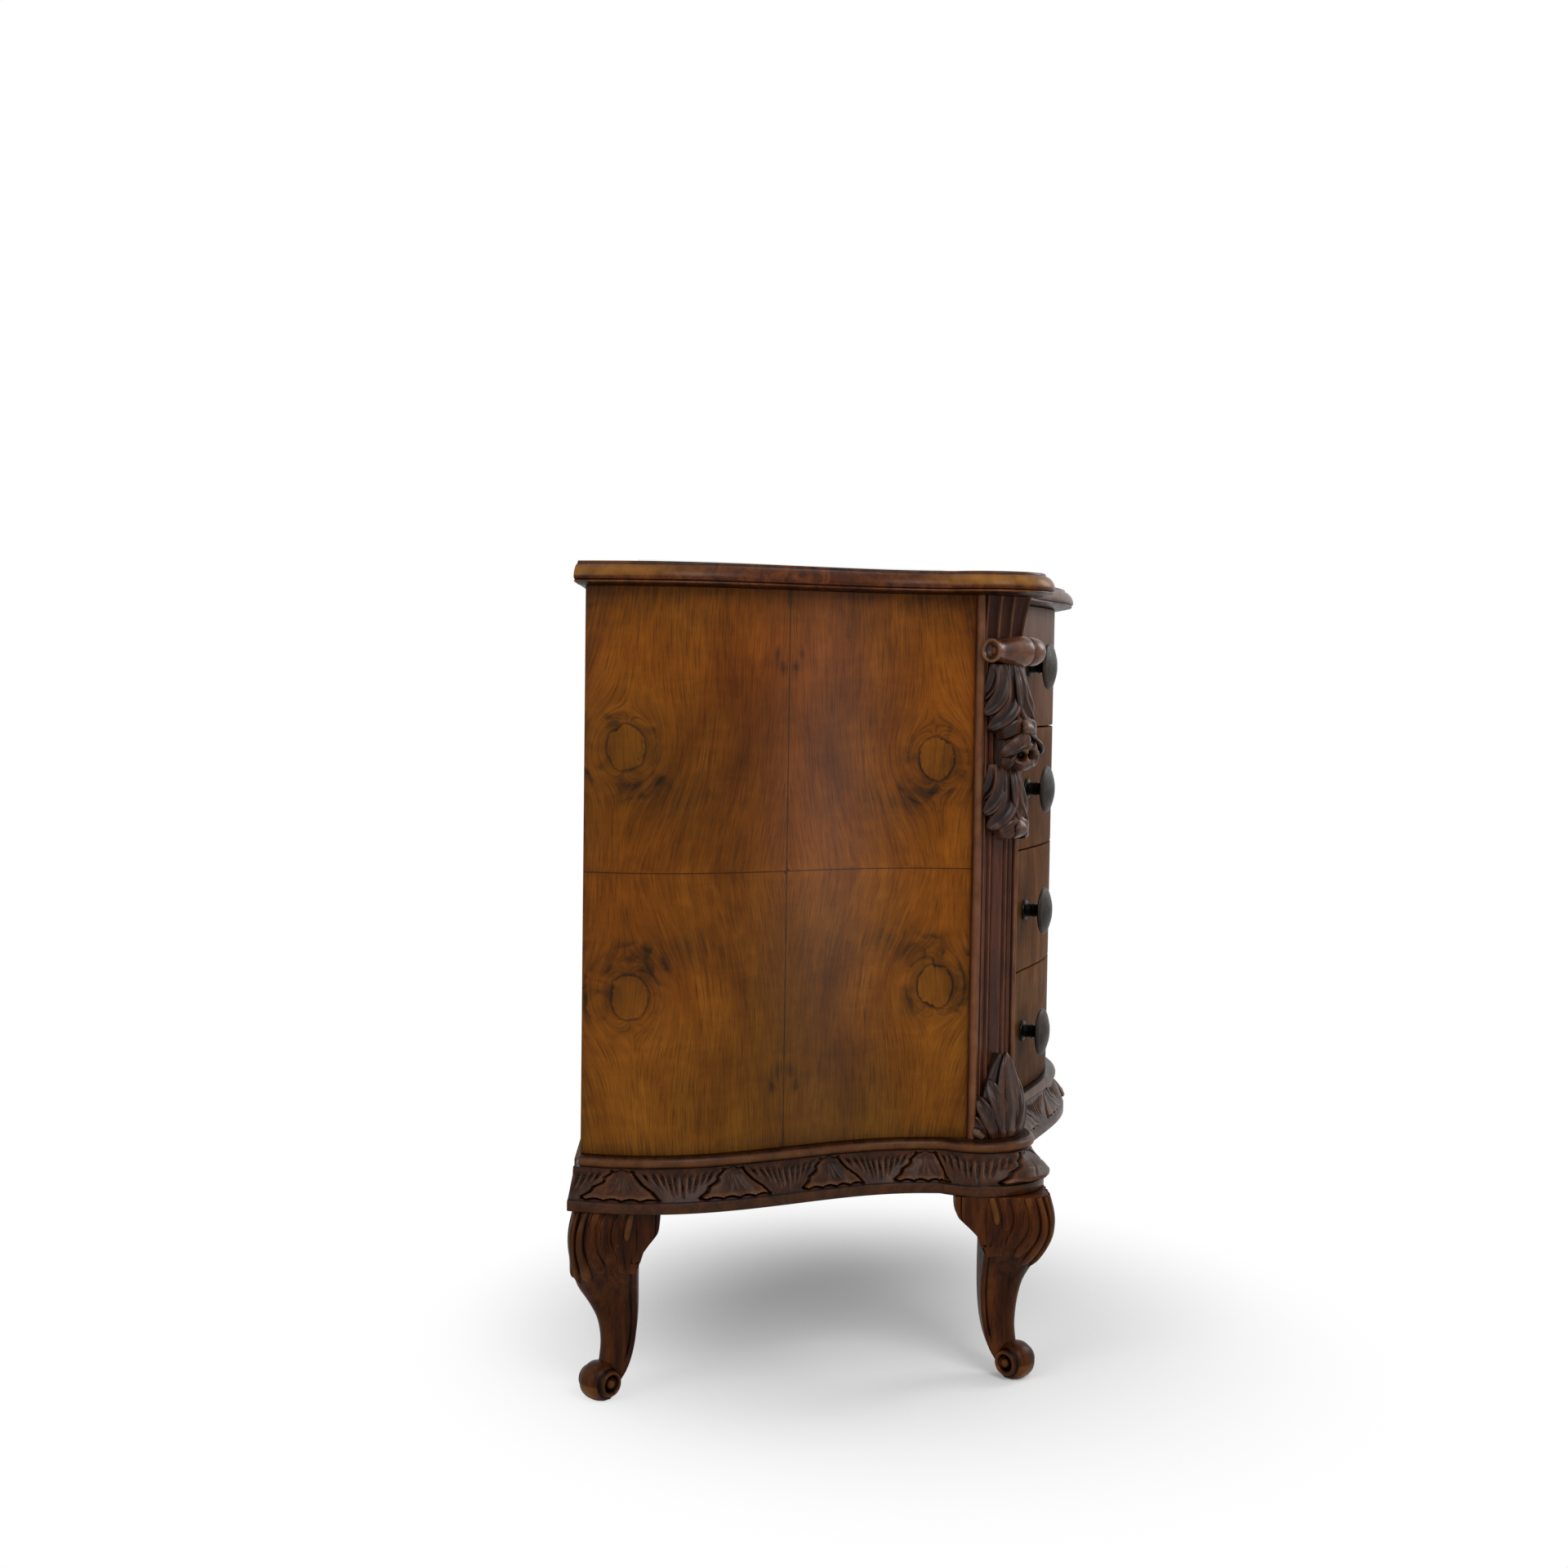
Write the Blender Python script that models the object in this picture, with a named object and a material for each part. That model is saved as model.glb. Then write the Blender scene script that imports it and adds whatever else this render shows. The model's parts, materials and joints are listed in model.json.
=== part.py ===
"""A serpentine chest of four drawers on carved cabriole legs.

The chest stands on z = 0 and its front faces -y. The plan is worked out in two coordinates:
x to the right from the centre line, and u forward from the back of the case. Every board that
follows the serpentine plan is an offset of the same outline, square to its surface.
"""

import math

import bmesh
import bpy
import numpy as np

# Clearances between pieces that touch and pieces that run
SEAT_GAP = 0.0003
RUNNING_GAP = 0.002

# Heights, from the floor up
LEG_HEIGHT = 0.205
PLINTH_HEIGHT = 0.0435
BEAD_HEIGHT = 0.0125
CASE_HEIGHT = 0.5865
TOP_THICKNESS = 0.0245
GLASS_THICKNESS = 0.005

# Plan of the case
HOLLOW_HALF_WIDTH = 0.459
SIDE_WAVE = 0.097
SIDE_CREST_FROM_BACK = 0.067
SIDE_HALF_WAVE = 0.300
FRONT_DEPTH = 0.4625
FRONT_WAVE = 0.105
FRONT_HALF_WAVE = 0.372
PANEL_THICKNESS = 0.020
BACK_THICKNESS = 0.008

# Canted corner posts
CANT = 0.049
POST_PROUD = 0.006
POST_FORWARD = 0.005
POST_CHEEK = 0.014
POST_DEPTH = 0.015
POST_BEAD = 0.0025
POST_CROWN = 0.0008
CAPITAL_HEIGHT = 0.050
CAPITAL_FLARE = 0.017
FLUTE_DEPTH = 0.004
FLUTES = 3

# The rounded ear that the top and the plinth make round each post
EAR_RADIUS = 0.050
EAR_INSET = 0.0215
EAR_FILLET = 0.030

# Top board, glass and plinth
TOP_OVERHANG = 0.023
TOP_BACK_OVERHANG = 0.006
PLINTH_BACK_OVERHANG = 0.008
GLASS_MARGIN = 0.060
PLINTH_FLARE = 0.024
PLINTH_BOARD = 0.022
PLINTH_FILLET = 0.012
BEAD_PROUD = 0.013

# Carving on the posts
ROLL_LENGTH = 0.082
ROLL_RADIUS = 0.0167
ROLL_BELOW_TOP = 0.0595
DROP_HEIGHT = 0.185
DROP_HALF_WIDTH = 0.029
DROP_RISE = 0.046
FOOT_LEAF_HEIGHT = 0.092
FOOT_LEAF_HALF_WIDTH = 0.027
FOOT_LEAF_RISE = 0.019

# Legs
LEG_KNEE = 0.077
LEG_ANKLE = 0.039
LEG_FROM_FRONT = 0.0375
LEG_BACK_REACH = 0.012
SCROLL_RADIUS = 0.0195
SCROLL_WIDTH = 0.030
SCROLL_FLAT = 0.001
KNEE_BRACKET_LENGTH = 0.026
KNEE_BRACKET_HEIGHT = 0.060
KNEE_BRACKET_THICKNESS = 0.024
KNEE_BRACKET_SETBACK = 0.006

# Inside the case
SHELF_THICKNESS = 0.014
STILE_WIDTH = 0.030
RAIL_THICKNESS = 0.020

# Drawers
DRAWERS = 4
FRONT_THICKNESS = 0.020
FRONT_REVEAL = 0.002
BOX_BOARD = 0.012
BOX_HEADROOM = 0.0076
BOX_BOTTOM = 0.006
BOX_BOTTOM_RISE = 0.008
BOX_GROOVE = 0.005
BOX_BACK_CLEARANCE = 0.020
BOX_BACK_DROP = 0.006

# Knobs
KNOB_FROM_CENTRE = 0.200
KNOB_RADIUS = 0.028
KNOB_REACH = 0.034

# Faces along each stretch of the outline
FRONT_STEPS = 11
ARC_STEPS = 3
EAR_STEPS = 6
SIDE_STEPS = 10
ROUND_STEPS = 16
RELIEF_STEPS = 9

# Heights that follow
PLINTH_Z = LEG_HEIGHT
BEAD_Z = PLINTH_Z + PLINTH_HEIGHT
CASE_Z = BEAD_Z + BEAD_HEIGHT
TOP_Z = CASE_Z + CASE_HEIGHT
GLASS_Z = TOP_Z + TOP_THICKNESS
DRAWER_PITCH = CASE_HEIGHT / DRAWERS

# Places that follow in plan
FRONT_REACH = FRONT_DEPTH + FRONT_WAVE + max(TOP_OVERHANG, PLINTH_FLARE)
BACK_Y = (FRONT_REACH - LEG_BACK_REACH) / 2
DIAGONAL = math.sqrt(0.5)
POST_SIDE_X = HOLLOW_HALF_WIDTH + POST_PROUD
POST_FRONT_U = FRONT_DEPTH + POST_FORWARD
POST_FRONT_X = POST_SIDE_X - CANT
POST_SIDE_U = POST_FRONT_U - CANT
POST_INNER_X = POST_FRONT_X - POST_CHEEK
POST_BACK_U = POST_SIDE_U - POST_DEPTH
CANT_X = (POST_SIDE_X + POST_FRONT_X) / 2
CANT_U = (POST_SIDE_U + POST_FRONT_U) / 2
CANT_HALF = CANT / 2 / DIAGONAL
EAR_X = CANT_X - EAR_INSET * DIAGONAL
EAR_U = CANT_U - EAR_INSET * DIAGONAL
BOX_HALF_WIDTH = POST_INNER_X - RUNNING_GAP * 2
BOX_HEIGHT = DRAWER_PITCH - SHELF_THICKNESS * 3 / 2 - BOX_HEADROOM

# Rise of the top's moulded edge and how far it stands out, lowest first
TOP_EDGE_SHARES = (
    (0.00, 0.45),
    (0.14, 0.55),
    (0.15, 0.92),
    (0.32, 0.95),
    (0.36, 0.78),
    (0.72, 0.82),
    (0.76, 1.00),
    (1.00, 0.97),
)
# Length along the roll and its radius, one end to the other
ROLL_SHARES = (
    (0.00, 0.58),
    (0.07, 0.66),
    (0.11, 0.48),
    (0.16, 0.70),
    (0.50, 1.00),
    (0.84, 0.70),
    (0.89, 0.48),
    (0.93, 0.66),
    (1.00, 0.58),
)
# Height on the drop, its half width and its rise: lower leaf, rosebud, upper leaf
DROP_SHARES = (
    (0.00, 0.28, 0.10),
    (0.05, 0.55, 0.22),
    (0.12, 0.86, 0.42),
    (0.17, 1.00, 0.46),
    (0.21, 0.66, 0.34),
    (0.30, 0.90, 0.44),
    (0.36, 0.62, 0.48),
    (0.40, 0.58, 0.72),
    (0.44, 0.64, 0.94),
    (0.49, 0.68, 1.00),
    (0.54, 0.60, 0.92),
    (0.58, 0.56, 0.66),
    (0.64, 0.94, 0.80),
    (0.70, 1.00, 0.74),
    (0.76, 0.72, 0.48),
    (0.85, 0.96, 0.44),
    (0.90, 0.70, 0.34),
    (1.00, 0.84, 0.28),
)
# Height on the foot leaf, its half width and its rise
FOOT_LEAF_SHARES = (
    (0.00, 0.92, 0.80),
    (0.14, 1.00, 1.00),
    (0.28, 0.72, 0.70),
    (0.36, 0.88, 0.86),
    (0.50, 0.96, 0.78),
    (0.60, 0.62, 0.50),
    (0.72, 0.70, 0.46),
    (0.86, 0.44, 0.26),
    (1.00, 0.08, 0.08),
)
# Height on the leg, then how far its outer faces stand past the ankle, and its inner faces behind it
LEG_SHARES = (
    (0.05, 0.40, -0.31),
    (0.12, 0.29, -0.30),
    (0.20, 0.05, -0.17),
    (0.28, 0.00, -0.09),
    (0.37, 0.00, -0.04),
    (0.46, 0.14, 0.00),
    (0.53, 0.34, 0.00),
    (0.61, 0.60, 0.00),
    (0.69, 0.86, 0.00),
    (0.78, 1.00, 0.00),
    (0.86, 1.00, 0.00),
    (1.00, 0.93, 0.00),
)
# Width of each edge bead, as a share of half the post's face
BEAD_SHARE = 0.17
# Rounding of the leg's section, as a share of its width
LEG_ROUND_SHARE = 0.22
# Reach along the knob's stem and its radius
KNOB_SHARES = (
    (0.00, 0.44),
    (0.10, 0.44),
    (0.20, 0.24),
    (0.46, 0.20),
    (0.56, 0.34),
    (0.62, 0.50),
    (0.70, 0.97),
    (0.78, 1.00),
    (0.92, 0.70),
    (1.00, 0.16),
)
# Height on the plinth below its fillet, and its stand-out: the carved frieze flares downwards
PLINTH_FACE_SHARES = ((0.00, 0.92), (0.35, 0.66), (0.70, 0.42), (1.00, 0.34))
# Where the knee bracket's curve runs, along it and down it, and how far it is let into the leg
KNEE_BRACKET_SHARES = (
    (1.00, 0.00),
    (1.00, 0.40),
    (0.86, 0.60),
    (0.52, 0.76),
    (0.20, 0.90),
    (0.05, 1.00),
)
KNEE_BRACKET_ROOT_SHARE = 0.30
# The scroll's centre along the diagonal, as a share of the ankle
SCROLL_FORWARD_SHARE = 0.88

MATERIALS = {
    "figured_walnut": ((0.30, 0.125, 0.040), 0.32, 0.0),
    "dark_walnut": ((0.135, 0.052, 0.020), 0.34, 0.0),
    "drawer_veneer": ((0.22, 0.085, 0.030), 0.28, 0.0),
    "drawer_wood": ((0.47, 0.30, 0.15), 0.60, 0.0),
    "case_wood": ((0.33, 0.19, 0.09), 0.65, 0.0),
    "bronze": ((0.085, 0.068, 0.050), 0.38, 0.8),
    "glass": ((0.55, 0.66, 0.62), 0.05, 0.0),
}


def clear_scene():
    for thing in list(bpy.data.objects):
        bpy.data.objects.remove(thing)


def make_materials():
    made = {}
    for name, (colour, roughness, metallic) in MATERIALS.items():
        material = bpy.data.materials.new(name)
        material.use_nodes = True
        shader = material.node_tree.nodes["Principled BSDF"]
        shader.inputs["Base Color"].default_value = (*colour, 1.0)
        shader.inputs["Roughness"].default_value = roughness
        shader.inputs["Metallic"].default_value = metallic
        made[name] = material
    return made


def add_object(name, mesh, material, smooth=None):
    """Links a mesh into the scene under its sub-part's name, with its own copy of the material."""
    thing = bpy.data.objects.new(name, mesh)
    bpy.context.scene.collection.objects.link(thing)
    own = FINISHES[material].copy()
    own.name = name + "_" + material
    mesh.materials.clear()
    mesh.materials.append(own)
    if smooth:
        mesh.shade_smooth()
        mesh.set_sharp_from_angle(angle=math.radians(smooth))
    return thing


def loft_mesh(rings, name):
    """A closed mesh from rings of equal count, joined in order, with a flat cap on each end."""
    rings = [np.asarray(ring, float) for ring in rings]
    count = len(rings[0])
    points = np.concatenate(rings)
    here = np.arange(count)
    following = np.roll(here, -1)
    faces = []
    for level in range(len(rings) - 1):
        low = level * count
        quads = np.stack([here, following, following + count, here + count], axis=1) + low
        faces += quads.tolist()
    faces.append(here[::-1].tolist())
    faces.append((here + len(points) - count).tolist())
    mesh = bpy.data.meshes.new(name)
    mesh.from_pydata(points.tolist(), [], faces)
    shape = bmesh.new()
    shape.from_mesh(mesh)
    bmesh.ops.remove_doubles(shape, verts=shape.verts, dist=SEAT_GAP / 10)
    bmesh.ops.recalc_face_normals(shape, faces=shape.faces)
    shape.to_mesh(mesh)
    shape.free()
    return mesh


def add_loft(name, rings, material, smooth=None):
    return add_object(name, loft_mesh(rings, name), material, smooth)


def add_board(name, plan, low, high, material, smooth=None):
    """A board with the given plan, as rows of x and u, from one height to another."""
    plan = np.asarray(plan, float)
    return add_loft(name, [plan_ring(plan, low), plan_ring(plan, high)], material, smooth)


def plan_ring(plan, height):
    """The plan's points at a height, in world coordinates."""
    return np.column_stack([plan[:, 0], BACK_Y - plan[:, 1], np.full(len(plan), height)])


def rectangle(left, right, back, front):
    return [(left, front), (right, front), (right, back), (left, back)]


def front_u(x):
    """The drawer fronts' face: a cosine from the crest at the centre to a hollow near each post."""
    along = np.minimum(np.abs(x) / FRONT_HALF_WAVE, 1.0)
    return FRONT_DEPTH + FRONT_WAVE / 2 * (1 + np.cos(math.pi * along))


def side_x(u):
    """The side's face: a cosine from its crest near the back to a hollow behind the post."""
    along = np.minimum((np.asarray(u) - SIDE_CREST_FROM_BACK) / SIDE_HALF_WAVE, 1.0)
    return HOLLOW_HALF_WIDTH + SIDE_WAVE / 2 * (1 + np.cos(math.pi * along))


def front_stations(first, last, count):
    """Points and outward normals along the front, from the cosine's slope."""
    x = np.linspace(first, last, count)
    along = np.minimum(np.abs(x) / FRONT_HALF_WAVE, 1.0)
    slope = -np.sign(x) * FRONT_WAVE / 2 * math.pi / FRONT_HALF_WAVE * np.sin(math.pi * along)
    length = np.hypot(slope, 1)
    return np.column_stack([x, front_u(x), -slope / length, 1 / length])


def side_stations(first, last, count):
    """Points and outward normals along the side, from the cosine's slope."""
    u = np.linspace(first, last, count)
    along = np.minimum((u - SIDE_CREST_FROM_BACK) / SIDE_HALF_WAVE, 1.0)
    slope = -SIDE_WAVE / 2 * math.pi / SIDE_HALF_WAVE * np.sin(math.pi * along)
    length = np.hypot(slope, 1)
    return np.column_stack([side_x(u), u, 1 / length, -slope / length])


def arc_stations(centre, radius, first, last, count, outward):
    """Points and normals along an arc whose normals point away from its centre, or to it."""
    angle = np.linspace(first, last, count)
    way = np.column_stack([np.cos(angle), np.sin(angle)])
    return np.column_stack([np.asarray(centre) + radius * way, outward * way])


def ear_parts():
    """The front fillet, the ear's two halves and the side fillet round the right-hand post."""
    ear = np.array([EAR_X, EAR_U])
    span = EAR_RADIUS + EAR_FILLET
    front_rise = FRONT_DEPTH + EAR_FILLET - EAR_U
    front_centre = np.array([EAR_X - math.sqrt(span**2 - front_rise**2), FRONT_DEPTH + EAR_FILLET])
    side_rise = HOLLOW_HALF_WIDTH + EAR_FILLET - EAR_X
    side_centre = np.array([HOLLOW_HALF_WIDTH + EAR_FILLET, EAR_U - math.sqrt(span**2 - side_rise**2)])
    to_front = math.atan2(*(front_centre - ear)[::-1])
    to_side = math.atan2(*(side_centre - ear)[::-1])
    corner = math.pi / 4
    mitre = SEAT_GAP / EAR_RADIUS
    front_fillet = arc_stations(
        front_centre, EAR_FILLET, -math.pi / 2, to_front - math.pi, ARC_STEPS + 1, -1
    )
    ear_front = arc_stations(ear, EAR_RADIUS, to_front, corner, EAR_STEPS, 1)
    ear_side = arc_stations(ear, EAR_RADIUS, corner - mitre, to_side, EAR_STEPS, 1)
    side_fillet = arc_stations(side_centre, EAR_FILLET, to_side + math.pi, math.pi, ARC_STEPS + 1, -1)
    return front_fillet, ear_front, ear_side, side_fillet


def front_half():
    """Stations of the plan from the front's centre to the corner's mitre, right half."""
    front_fillet, ear_front, _, _ = ear_parts()
    face = front_stations(0.0, FRONT_HALF_WAVE, FRONT_STEPS + 1)
    return np.concatenate([face, front_fillet, ear_front[1:]])


def side_half(back=0.0):
    """Stations of the plan from the corner's mitre to the flat back end, right half."""
    _, _, ear_side, side_fillet = ear_parts()
    hollow = min(SIDE_CREST_FROM_BACK + SIDE_HALF_WAVE, side_fillet[-1, 1] - SEAT_GAP)
    face = side_stations(hollow, back, SIDE_STEPS + 1)
    face[-1, 2:] = (1 / face[-1, 2], 0.0)
    return np.concatenate([ear_side, side_fillet[1:], face])


def offset(stations, distance):
    return stations[:, :2] + distance * stations[:, 2:]


def mirrored(plan):
    return np.column_stack([-plan[:, 0], plan[:, 1]])


def whole_outline(distance, back=0.0):
    """The closed plan of a board that stands a distance outside the case."""
    half = offset(np.concatenate([front_half(), side_half(back)[1:]]), distance)
    return np.concatenate([half, mirrored(half)[:0:-1]])


def section_rings(stations, section, side):
    """The section, as rows of distance and height, carried along the stations."""
    rings = []
    for distance, height in section:
        plan = offset(stations, distance)
        plan[:, 0] *= side
        rings.append(plan_ring(plan, height))
    return np.stack(rings, axis=1)


def add_top():
    rings = []
    for rise, reach in TOP_EDGE_SHARES:
        plan = whole_outline(reach * TOP_OVERHANG, -TOP_BACK_OVERHANG)
        rings.append(plan_ring(plan, TOP_Z + rise * TOP_THICKNESS))
    add_loft("top_board", rings, "dark_walnut", 40)
    glass = whole_outline(TOP_OVERHANG - GLASS_MARGIN, GLASS_MARGIN)
    low = GLASS_Z + SEAT_GAP
    add_board("glass_plate", glass, low, low + GLASS_THICKNESS, "glass", 40)


def panel_faces():
    """The side panel's outer and inner faces in plan, from the post to the flat back edge."""
    stations = side_stations(POST_SIDE_U - SEAT_GAP, 0.0, SIDE_STEPS + 3)
    stations[-1, 2:] = (1 / stations[-1, 2], 0.0)
    return offset(stations, 0.0), offset(stations, -PANEL_THICKNESS)


def inside_run(first, last, gap):
    """Points along the side panel's inner face, on its own facets, from one depth back to another."""
    inner = panel_faces()[1][::-1]
    between = [u for u in inner[::-1, 1] if last < u < first]
    u = np.array([first, *between, last])
    return np.column_stack([np.interp(u, inner[:, 1], inner[:, 0]) - gap, u])


def front_facets():
    """Where the drawer fronts' facets meet, from left to right."""
    end = POST_INNER_X - RUNNING_GAP
    return np.linspace(-end, end, FRONT_STEPS * 2 + 5)


def behind_front(first, last, setback):
    """Points on the drawer fronts' own facets, set back from their face, between two places."""
    facets = front_facets()
    x = np.array([first, *[place for place in facets if first < place < last], last])
    return np.column_stack([x, np.interp(x, facets, front_u(facets)) - setback])


def shelf_plan():
    """The plan of a board that fills the case behind the drawer fronts, notched for posts and stiles."""
    front_end = POST_INNER_X - SEAT_GAP
    behind_post = POST_BACK_U - SEAT_GAP
    back_edge = BACK_THICKNESS + SEAT_GAP
    stile_front = back_edge + STILE_WIDTH + SEAT_GAP
    stile_inner = stile_outer_x() - STILE_WIDTH - SEAT_GAP
    half = np.concatenate(
        [
            behind_front(0.0, front_end, FRONT_THICKNESS + FRONT_REVEAL),
            [(front_end, behind_post)],
            inside_run(behind_post, stile_front, SEAT_GAP),
            [(stile_inner, stile_front), (stile_inner, back_edge)],
        ]
    )
    return np.concatenate([half, mirrored(half)[:0:-1]])


def stile_outer_x():
    """Where the back stile meets the side panel: at the panel's narrowest point over the stile."""
    return inside_run(BACK_THICKNESS + STILE_WIDTH, BACK_THICKNESS, SEAT_GAP)[:, 0].min()


def add_case():
    add_board(
        "bottom_board", whole_outline(-SEAT_GAP * 2), BEAD_Z + SEAT_GAP, CASE_Z - SEAT_GAP, "case_wood"
    )
    shelf = shelf_plan()
    for level in range(1, DRAWERS):
        middle = CASE_Z + level * DRAWER_PITCH
        add_board(
            f"shelf_{DRAWERS - level}",
            shelf,
            middle - SHELF_THICKNESS / 2,
            middle + SHELF_THICKNESS / 2,
            "case_wood",
        )
    add_board(
        "top_frame", shelf, TOP_Z - SEAT_GAP - SHELF_THICKNESS, TOP_Z - SEAT_GAP, "case_wood"
    )
    back_half = inside_run(BACK_THICKNESS, 0.0, SEAT_GAP)[:, 0].min()
    add_board(
        "back_panel",
        rectangle(-back_half, back_half, 0.0, BACK_THICKNESS),
        CASE_Z,
        TOP_Z - SEAT_GAP,
        "case_wood",
    )
    plinth_inner = offset(side_half(-PLINTH_BACK_OVERHANG), -PLINTH_BOARD)[::-1]
    rail_ends = (-PLINTH_BACK_OVERHANG, RAIL_THICKNESS)
    rail_half = np.interp(rail_ends, plinth_inner[:, 1], plinth_inner[:, 0]).min() - SEAT_GAP
    add_board(
        "plinth_back",
        rectangle(-rail_half, rail_half, *rail_ends),
        PLINTH_Z,
        BEAD_Z,
        "case_wood",
    )
    for side, label in ((-1, "left"), (1, "right")):
        add_side(side, label)


def add_side(side, label):
    """The shaped side panel of the case and the square stile glued behind its back edge."""
    outer, inner = panel_faces()
    panel = np.concatenate([outer, inner[::-1]])
    panel[:, 0] *= side
    add_board("side_panel_" + label, panel, CASE_Z, TOP_Z - SEAT_GAP, "figured_walnut", 40)
    stile_outer = stile_outer_x()
    stile_back = BACK_THICKNESS + SEAT_GAP
    stile = np.array(
        rectangle(stile_outer - STILE_WIDTH, stile_outer, stile_back, stile_back + STILE_WIDTH)
    )
    stile[:, 0] *= side
    add_board("back_stile_" + label, stile, CASE_Z, TOP_Z - SEAT_GAP, "case_wood")


def add_plinth():
    """The flared carved plinth in three mitred lengths, with the half-round bead on top of it."""
    face_height = PLINTH_HEIGHT - PLINTH_FILLET
    face = [
        (share * PLINTH_FLARE, PLINTH_Z + PLINTH_FILLET + rise * face_height)
        for rise, share in PLINTH_FACE_SHARES
    ]
    plinth = [
        (-PLINTH_BOARD, PLINTH_Z),
        (PLINTH_FLARE, PLINTH_Z),
        (PLINTH_FLARE, PLINTH_Z + PLINTH_FILLET),
        *face,
        (-PLINTH_BOARD, BEAD_Z),
    ]
    turn = np.linspace(-math.pi / 2, math.pi / 2, ARC_STEPS * 2)
    bead_radius = (BEAD_HEIGHT - SEAT_GAP * 2) / 2
    middle = BEAD_Z + BEAD_HEIGHT / 2
    bead = [(-SEAT_GAP, middle - bead_radius)]
    bead += [
        (BEAD_PROUD - bead_radius + bead_radius * math.cos(a), middle + bead_radius * math.sin(a))
        for a in turn
    ]
    bead.append((-SEAT_GAP, middle + bead_radius))
    half = front_half()
    across = half.copy()
    across[:, [0, 2]] *= -1
    front = np.concatenate([across[:0:-1], half])
    for name, section, back in (("plinth", plinth, -PLINTH_BACK_OVERHANG), ("base_bead", bead, 0.0)):
        add_loft(name + "_front", section_rings(front, section, 1), "dark_walnut", 40)
        for side, label in ((-1, "left"), (1, "right")):
            rings = section_rings(side_half(back), section, side)
            add_loft(f"{name}_{label}", rings, "dark_walnut", 40)


def on_cant(side, across, rise, height):
    """World points on a post's canted face: across it, out from it, and at a height."""
    x = CANT_X + (across + rise) * DIAGONAL
    u = CANT_U + (rise - across) * DIAGONAL
    return np.column_stack([side * x, BACK_Y - u, height + 0 * x])


def add_post(side, label):
    """The canted post, with a bead along each edge and a fluted capital that flares under the top."""
    inner_edge = 1 - BEAD_SHARE
    field = np.linspace(-inner_edge, inner_edge, FLUTES * 4 + 1)
    bead = (inner_edge + BEAD_SHARE / 4, 1 - BEAD_SHARE / 4, 1.0)
    across = np.concatenate([-np.array(bead[::-1]), field, bead])
    edge = (np.abs(across) > inner_edge) * POST_BEAD
    flutes = -FLUTE_DEPTH * np.sin(math.pi * FLUTES * (field / inner_edge + 1) / 2) ** 2
    flutes = np.concatenate([np.zeros(len(bead)), flutes, np.zeros(len(bead))])
    crown = POST_CROWN * (1 - across**2)
    core = np.array(
        [
            (POST_INNER_X, POST_FRONT_U),
            (POST_INNER_X, POST_BACK_U),
            (HOLLOW_HALF_WIDTH - PANEL_THICKNESS, POST_BACK_U),
            (HOLLOW_HALF_WIDTH - PANEL_THICKNESS, POST_SIDE_U),
        ]
    )
    top = TOP_Z - SEAT_GAP
    rings = []
    capital_shares = (0.0, 0.12, 0.35, 0.62, 0.85, 1.0)
    heights = [CASE_Z] + [top - CAPITAL_HEIGHT * (1 - share) for share in capital_shares]
    flares = [0.0, 0.0] + [CAPITAL_FLARE * share**2 for share in capital_shares[1:]]
    depths = [0.0, 0.0] + [1.0] * (len(capital_shares) - 1)
    for height, flare, depth in zip(heights, flares, depths):
        rise = (edge + crown) * (1 - depth) + flare + depth * flutes
        rise[[0, -1]] = flare
        face = on_cant(side, -across * CANT_HALF, rise, height)
        inner = core.copy()
        inner[:, 0] *= side
        rings.append(np.concatenate([face, plan_ring(inner, height)]))
    add_loft("corner_post_" + label, rings, "dark_walnut", 40)


def relief_rings(side, low, height, half_width, rise, shares):
    """Half-round sections stacked up a post's face, glued between its beads and swelling over them."""
    angle = np.linspace(0.0, math.pi, RELIEF_STEPS)
    glued = CANT_HALF * (1 - BEAD_SHARE) - SEAT_GAP * 2
    rings = []
    for level, wide, out in shares:
        across = half_width * wide * np.cos(angle)
        across[[0, -1]] = np.clip(across[[0, -1]], -glued, glued)
        away = SEAT_GAP + POST_CROWN + rise * out * np.sin(angle)
        rings.append(on_cant(side, across, away, low + level * height))
    return rings


def add_post_carving(side, label):
    """The turned roll, the drop of leaf, rosebud and leaf, and the leaf at the post's foot."""
    turn = np.linspace(0.0, math.tau, ROUND_STEPS, endpoint=False)
    middle = TOP_Z - ROLL_BELOW_TOP
    seat = SEAT_GAP + POST_CROWN + ROLL_RADIUS
    roll = []
    for along, radius in ROLL_SHARES:
        reach = ROLL_RADIUS * radius
        across = np.full(ROUND_STEPS, (along - 1 / 2) * ROLL_LENGTH)
        roll.append(on_cant(side, across, seat + reach * np.cos(turn), middle + reach * np.sin(turn)))
    add_loft("post_roll_" + label, roll, "dark_walnut", 40)
    drop_low = middle - ROLL_RADIUS - SEAT_GAP - DROP_HEIGHT
    drop = relief_rings(side, drop_low, DROP_HEIGHT, DROP_HALF_WIDTH, DROP_RISE, DROP_SHARES)
    add_loft("post_drop_" + label, drop, "dark_walnut", 50)
    leaf = relief_rings(
        side,
        CASE_Z + SEAT_GAP,
        FOOT_LEAF_HEIGHT,
        FOOT_LEAF_HALF_WIDTH,
        FOOT_LEAF_RISE,
        FOOT_LEAF_SHARES,
    )
    add_loft("post_foot_leaf_" + label, leaf, "dark_walnut", 50)


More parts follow.
